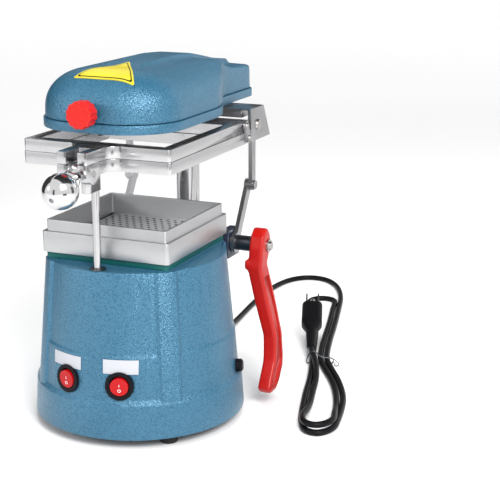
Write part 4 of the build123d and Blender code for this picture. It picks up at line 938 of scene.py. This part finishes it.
# ---------------------------------------------------------------- lever grip
@dataclass
class LeverGrip:
    """Moulded lever: even rounded edges and a shallow channel down its outer and front faces."""

    voxel: float = 0.7
    passes: int = 60
    depth: float = 1.1
    shaft_z: float = 149.5
    # outline of the channel from the side: y, height over the shaft
    channel: tuple[tuple[float, float], ...] = (
        (67.6, -27), (69.4, -52.5), (73.2, -85.5), (70.4, -98), (67.2, -107.5), (60.5, -118.5),
        (56.5, -128), (62, -131), (69.5, -126.5), (79.6, -116), (81.2, -107.5), (82.6, -85.5),
        (81.6, -52.5), (78.6, -27),
    )
    # the cutter's two ends across the lever
    reach: tuple[float, float] = (60.0, 130.0)

    def build(self) -> None:
        """Builds the grip."""
        grip = rounded("lever_handle", self.voxel, self.passes)
        inside = softened("lever_handle", 0.0)
        inside.location.x = -self.depth * MM
        pick(inside)
        bpy.ops.object.transform_apply(location=True, rotation=True, scale=True)
        outline = [(y, self.shaft_z + rise) for y, rise in self.channel]
        cutter = slab("grip_channel", outline, 0, *self.reach)
        combine(cutter, inside)
        combine(grip, cutter)
        dress(grip, RED, "lever", ("lever_handle",), 40.0)


# ---------------------------------------------------------------- perforated plate
@dataclass
class Sieve:
    """Perforated plate with staggered holes and a screw near each corner."""

    side: float = 112.8
    hole: float = 1.55
    pitch: float = 7.4
    columns: int = 14
    thickness: float = 1.5
    hole_sides: int = 12
    screw_at: float = 50.0
    screw_radius: float = 2.6
    screw_height: float = 1.3

    def build(self) -> None:
        """Builds the plate and its screws."""
        _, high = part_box("perforated_plate")
        top = high[2]
        plate = self._rows(top)
        dress(plate, SHEET, "base", ("perforated_plate",))
        # painted shade: the walls of the holes are coloured near-black
        self._paint_hole_shade(plate)
        for east in (-1, 1):
            for north in (-1, 1):
                name = f"plate_screw_{east + 1}{north + 1}"
                place = (east * self.screw_at * MM, north * self.screw_at * MM, top)
                screw = slotted_screw(name, place, self.screw_radius, self.screw_height)
                dress(screw, SCREW, "base")

    def _cell(self, name: str, place: Point, width: float, height: float) -> bpy.types.Object:
        """Flat cell with one hole in its middle."""
        cell = sheet(name, place, width, height)
        edit_all(cell)
        bpy.ops.mesh.delete(type="ONLY_FACE")
        bpy.ops.mesh.primitive_circle_add(
            vertices=self.hole_sides, radius=self.hole * MM, fill_type="NOTHING", location=place
        )
        bpy.ops.mesh.select_all(action="SELECT")
        bpy.ops.mesh.fill()
        bpy.ops.object.mode_set(mode="OBJECT")
        return cell

    def _rows(self, top: float) -> bpy.types.Object:
        """Rows of cells, every second one shifted by half a pitch, inside a plain margin."""
        side = self.side * MM
        width = self.pitch * MM
        height = width * math.sin(math.radians(60))
        pairs = int(side / (2 * height))
        used_x = self.columns * width
        used_y = 2 * pairs * height
        west = -used_x / 2
        odd = height / 2 - used_y / 2
        even = odd + height
        row = self._cell("sieve_row", (west + width / 2, odd, top), width, height)
        repeat(row, self.columns, (width, 0, 0))
        shifted = self._cell("sieve_row_b", (west + width, even, top), width, height)
        repeat(shifted, self.columns - 1, (width, 0, 0))
        blanks = [
            sheet("sieve_blank", (end, even, top), width / 2, height)
            for end in (west + width / 4, -west - width / 4)
        ]
        join([row, shifted, *blanks])
        repeat(row, pairs, (0, 2 * height, 0))
        row.name = "sieve_plate"
        edge_x, edge_y = (side - used_x) / 2, (side - used_y) / 2
        out_x, out_y = (side + used_x) / 4, (side + used_y) / 4
        margins = [
            sheet("sieve_margin", (east, north, top), wide, deep)
            for east, north, wide, deep in (
                (0.0, out_y, side, edge_y), (0.0, -out_y, side, edge_y),
                (out_x, 0.0, edge_x, used_y), (-out_x, 0.0, edge_x, used_y),
            )
        ]
        join([row, *margins])
        tidy_mesh(row, WELD)
        modify(row, "SOLIDIFY", thickness=self.thickness * MM, offset=-1.0)
        return row

    def _paint_hole_shade(self, plate: bpy.types.Object) -> None:
        """Paints shade on the walls of the holes: a near-black colour stands in for the shadow inside
        them.
        """
        plate.data.materials.append(HOLE_SHADE.material())
        # every upright face is a hole wall and gets the painted shade
        for face in plate.data.polygons:
            if abs(face.normal.z) < 0.5:
                face.material_index = 1


def slotted_screw(name: str, place: Point, radius: float, height: float) -> bpy.types.Object:
    """Upright screw head with a slot, rounded at its rim.

    Args:
        name: name of the piece.
        place: centre of the seat, in metres.
        radius: head radius in millimetres.
        height: head height in millimetres.

    Returns:
        The screw head.
    """
    rim, slot_length, slot_width, slot_depth = 0.35 * height, 3 * radius, 0.34 * radius, 0.9 * height
    east, north, seat = place
    deselect()
    bpy.ops.mesh.primitive_cylinder_add(
        vertices=28, radius=radius * MM, depth=height * MM,
        location=(east, north, seat + height * MM / 2),
    )
    head = settle(name)
    modify(
        head, "BEVEL", width=rim * MM, segments=3, limit_method="ANGLE", angle_limit=math.radians(40)
    )
    deselect()
    bpy.ops.mesh.primitive_cube_add(size=1.0, location=(east, north, seat + height * MM))
    bpy.context.object.scale = (slot_length * MM, slot_width * MM, slot_depth * MM)
    combine(head, settle(f"{name}_slot"))
    return head


@dataclass
class SwitchMarks:
    """Bar and ring printed on each rocker."""

    angle: float = 16.4
    level: float = 57.5
    # where a mark starts before it is laid on its rocker
    ahead: float = 130.0
    bar: tuple[float, float, float] = (0.42, 2.2, 0.9)
    ring: tuple[float, float, float] = (1.25, 0.2, -3.7)
    ring_sides: int = 28
    lift: float = 0.12

    def build(self) -> None:
        """Builds the marks of both rockers."""
        for side, name in ((-1, "left"), (1, "right")):
            turn = math.radians(side * self.angle)
            facing = (math.pi / 2, 0, turn)
            start = Vector((math.sin(turn), -math.cos(turn), 0.0)) * (self.ahead * MM)
            start += Vector((0, 0, self.level * MM))
            width, height, rise = self.bar
            deselect()
            bpy.ops.mesh.primitive_grid_add(
                x_subdivisions=3, y_subdivisions=9, size=1.0,
                location=start + Vector((0, 0, rise * MM)), rotation=facing,
            )
            bpy.context.object.scale = (width * MM, height * MM, 1.0)
            self._lay(f"mark_bar_{name}", f"rocker_{name}")
            radius, line, rise = self.ring
            middle = start + Vector((0, 0, rise * MM))
            deselect()
            bpy.ops.mesh.primitive_circle_add(
                vertices=self.ring_sides, radius=(radius + line) * MM, location=middle, rotation=facing
            )
            bpy.ops.object.mode_set(mode="EDIT")
            bpy.ops.mesh.extrude_region_move()
            shrink = (radius - line) / (radius + line)
            bpy.ops.transform.resize(value=(shrink, shrink, shrink), center_override=middle)
            bpy.ops.object.mode_set(mode="OBJECT")
            self._lay(f"mark_ring_{name}", f"rocker_{name}")

    def _lay(self, name: str, rocker: str) -> None:
        """Lays the active flat mark on the rocker's face."""
        lay_down(bpy.context.object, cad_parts[rocker])
        mark = settle(name)
        modify(mark, "SOLIDIFY", thickness=self.lift * 2 * MM, offset=0.0)
        dress(mark, WHITE, f"{rocker.split('_')[1]}_rocker")


# ---------------------------------------------------------------- plates without words
@dataclass
class Plates:
    """Blank plates over the switches on the drum wall, and the blank yellow plate on the cover."""

    wall_foot: tuple[float, float] = (91.8, 44.5)
    wall_top: tuple[float, float] = (89.0, 82.0)
    left: tuple[float, float, float, float] = (-43.0, -11.0, 68.0, 79.5)
    right: tuple[float, float, float, float] = (11.0, 41.0, 68.0, 80.7)
    thickness: float = 0.5
    gap: float = 0.12
    bevel: float = 0.18
    wall_sides: int = 240
    yellow: tuple[tuple[float, float], ...] = ((-24.0, -63.6), (34.7, -64.0), (1.1, -8.7))
    yellow_corner: float = 2.2
    yellow_cuts: int = 5
    # where the yellow plate starts before it is laid on the cover
    above: float = 360.0

    def build(self) -> None:
        """Builds all plates."""
        dress(self._curved("left_plate", self.left), LABEL, "base")
        dress(self._curved("right_plate", self.right), LABEL, "base")
        for name, inwards, lift, finish in (
            ("corner_plate", 0.0, 0.30, YELLOW),
            ("corner_plate_line", 1.6, 0.40, BLACK),
            ("corner_plate_field", 2.5, 0.50, YELLOW),
        ):
            dress(self._cover_plate(name, inwards, lift), finish, "heater_head")

    def _wall(self, level: float) -> float:
        """Radius of the wall at a height."""
        (low_r, low_z), (high_r, high_z) = self.wall_foot, self.wall_top
        return low_r + (high_r - low_r) * (level - low_z) / (high_z - low_z)

    def _curved(self, name: str, span: tuple[float, float, float, float]) -> bpy.types.Object:
        """Plate bent to the wall between two x and two z values."""
        west, east, low, high = span
        deselect()
        bpy.ops.mesh.primitive_cone_add(
            vertices=self.wall_sides, radius1=(self._wall(low) + self.gap) * MM,
            radius2=(self._wall(high) + self.gap) * MM, depth=(high - low) * MM,
            end_fill_type="NOTHING", location=(0, 0, (low + high) / 2 * MM),
        )
        plate = settle(name)
        bpy.ops.object.mode_set(mode="EDIT")
        for place, normal in (
            ((0, 0, 0), (0, 1, 0)), ((east * MM, 0, 0), (1, 0, 0)), ((west * MM, 0, 0), (-1, 0, 0)),
        ):
            bpy.ops.mesh.select_all(action="SELECT")
            bpy.ops.mesh.bisect(plane_co=place, plane_no=normal, clear_outer=True)
        bpy.ops.object.mode_set(mode="OBJECT")
        tidy_mesh(plate)
        modify(plate, "SOLIDIFY", thickness=self.thickness * MM, offset=1.0)
        modify(
            plate, "BEVEL", width=self.bevel * MM, segments=2, limit_method="ANGLE",
            angle_limit=math.radians(50),
        )
        return plate

    def _cover_plate(self, name: str, inwards: float, lift: float) -> bpy.types.Object:
        """Triangular plate laid on the cover, its sides moved inwards."""
        corners = [Vector((x, y, 0.0)) for x, y in self.yellow]
        middle = sum(corners, Vector()) / 3
        reach = (corners[0] - middle).length
        size = 1.0 - inwards * 2.0 / reach
        deselect()
        bpy.ops.mesh.primitive_circle_add(vertices=3, radius=0.01, fill_type="NGON")
        plate = settle(name)
        for vertex, corner in zip(plate.data.vertices, corners):
            place = middle + (corner - middle) * size
            vertex.co = (place.x * MM, place.y * MM, self.above * MM)
        edit_all(plate)
        bpy.ops.mesh.bevel(offset=self.yellow_corner * MM, segments=3, affect="VERTICES")
        edit_all(plate)
        bpy.ops.mesh.poke()
        for _ in range(self.yellow_cuts):
            bpy.ops.mesh.select_all(action="SELECT")
            bpy.ops.mesh.subdivide(number_cuts=1)
        bpy.ops.object.mode_set(mode="OBJECT")
        lay_down(plate, bpy.data.objects["head_cover_form"])
        tidy_mesh(plate)
        for vertex in plate.data.vertices:
            vertex.co.z += lift * MM
        if plate.data.polygons[0].normal.z < 0:
            plate.data.flip_normals()
        modify(plate, "SOLIDIFY", thickness=self.thickness * MM, offset=0.0)
        return plate


# ---------------------------------------------------------------- finishes of the whole object
@dataclass
class Coats:
    """Finish of each CAD node, and the nodes whose edges are broken."""

    finish_of: dict[str, Finish] = field(default_factory=dict)
    knob_voxel: float = 0.5
    knob_passes: int = 30
    knob_scale: Point = (0.9, 0.97, 0.9)

    def build(self) -> None:
        """Softens the nodes that show their edges and coats the rest."""
        broken = (
            ("base_housing", BLUE, "base", "blue_enamel", 0.0007),
            ("head_base", BLUE, "heater_head", "blue_enamel", 0.0007),
            ("lower_clamp_plate", CHROME, "carriage", "polished_frame", 0.00025),
            ("upper_clamp_plate", CHROME, "upper_clamp", "polished_frame", 0.00025),
            ("vacuum_tray", TRAY, "base", "satin_tray", 0.0005),
            ("deck_gasket", GASKET, "base", "green_rubber", 0.0005),
            ("rear_crosshead", BAR, "carriage", "polished_frame", 0.0004),
            ("bearing_block_left", NAVY, "base", "dark_enamel", 0.0006),
            ("bearing_block_right", NAVY, "base", "dark_enamel", 0.0006),
        )
        for node, finish, body, slot, width in broken:
            dress(softened(node, width), finish, body, (node,))
        self._knob()
        for node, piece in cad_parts.items():
            finish = self.finish_of.get(node, BAR)
            piece.data.materials.clear()
            piece.data.materials.append(finish.material())

    def _knob(self) -> None:
        """Builds the knob with soft lobes, scaled about its seat."""
        knob = rounded("grip_knob", self.knob_voxel, self.knob_passes)
        low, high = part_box("grip_knob")
        seat = (0.0, high[1], (low[2] + high[2]) / 2)
        edit_all(knob)
        bpy.ops.transform.resize(value=self.knob_scale, center_override=seat)
        bpy.ops.object.mode_set(mode="OBJECT")
        dress(knob, KNOB_RED, "heater_head", ("grip_knob",), ROUND)


NODES_OF: dict[Finish, str] = {
    NAVY: "bottom_cover",
    RUBBER: "rubber_foot_1 rubber_foot_2 rubber_foot_3 rubber_foot_4 cord_gland plug_body lip_bumper",
    CORD: "power_cord plug_tail cord_hank cord_tie",
    STEELPAINT: "suction_duct fan_housing vacuum_motor motor_stand",
    ROD: "heater_column guide_rod_rear front_guide_rod",
    SHAFT: "column_collar front_rod_bush lever_shaft",
    BLACK: "switch_bezel_left switch_bezel_right fuse_holder",
    ROCKER_RED: "rocker_left rocker_right",
    SCREW: "clamp_pin crosshead_pin_left crosshead_pin_right upper_tab_pin_left upper_tab_pin_right"
           " lower_tab_pin_left lower_tab_pin_right handle_screw plug_prongs",
    CHROME_Y: "swing_bolt",
    MIRROR_BALL: "ball_nut",
    HEAT: "reflector_pan",
    COIL: "heating_coil",
}
FINISH_OF = {node: finish for finish, nodes in NODES_OF.items() for node in nodes.split()}


def main() -> None:
    """Builds the studio and every sub-assembly in order."""
    logging.basicConfig(level=logging.INFO, format="%(name)s: %(message)s")
    Studio().build()
    PowerCord().build()
    Coats(FINISH_OF).build()
    DomedCover().build()
    LeverGrip().build()
    Sieve().build()
    SwitchMarks().build()
    Plates().build()


if __name__ == "__main__":
    main()
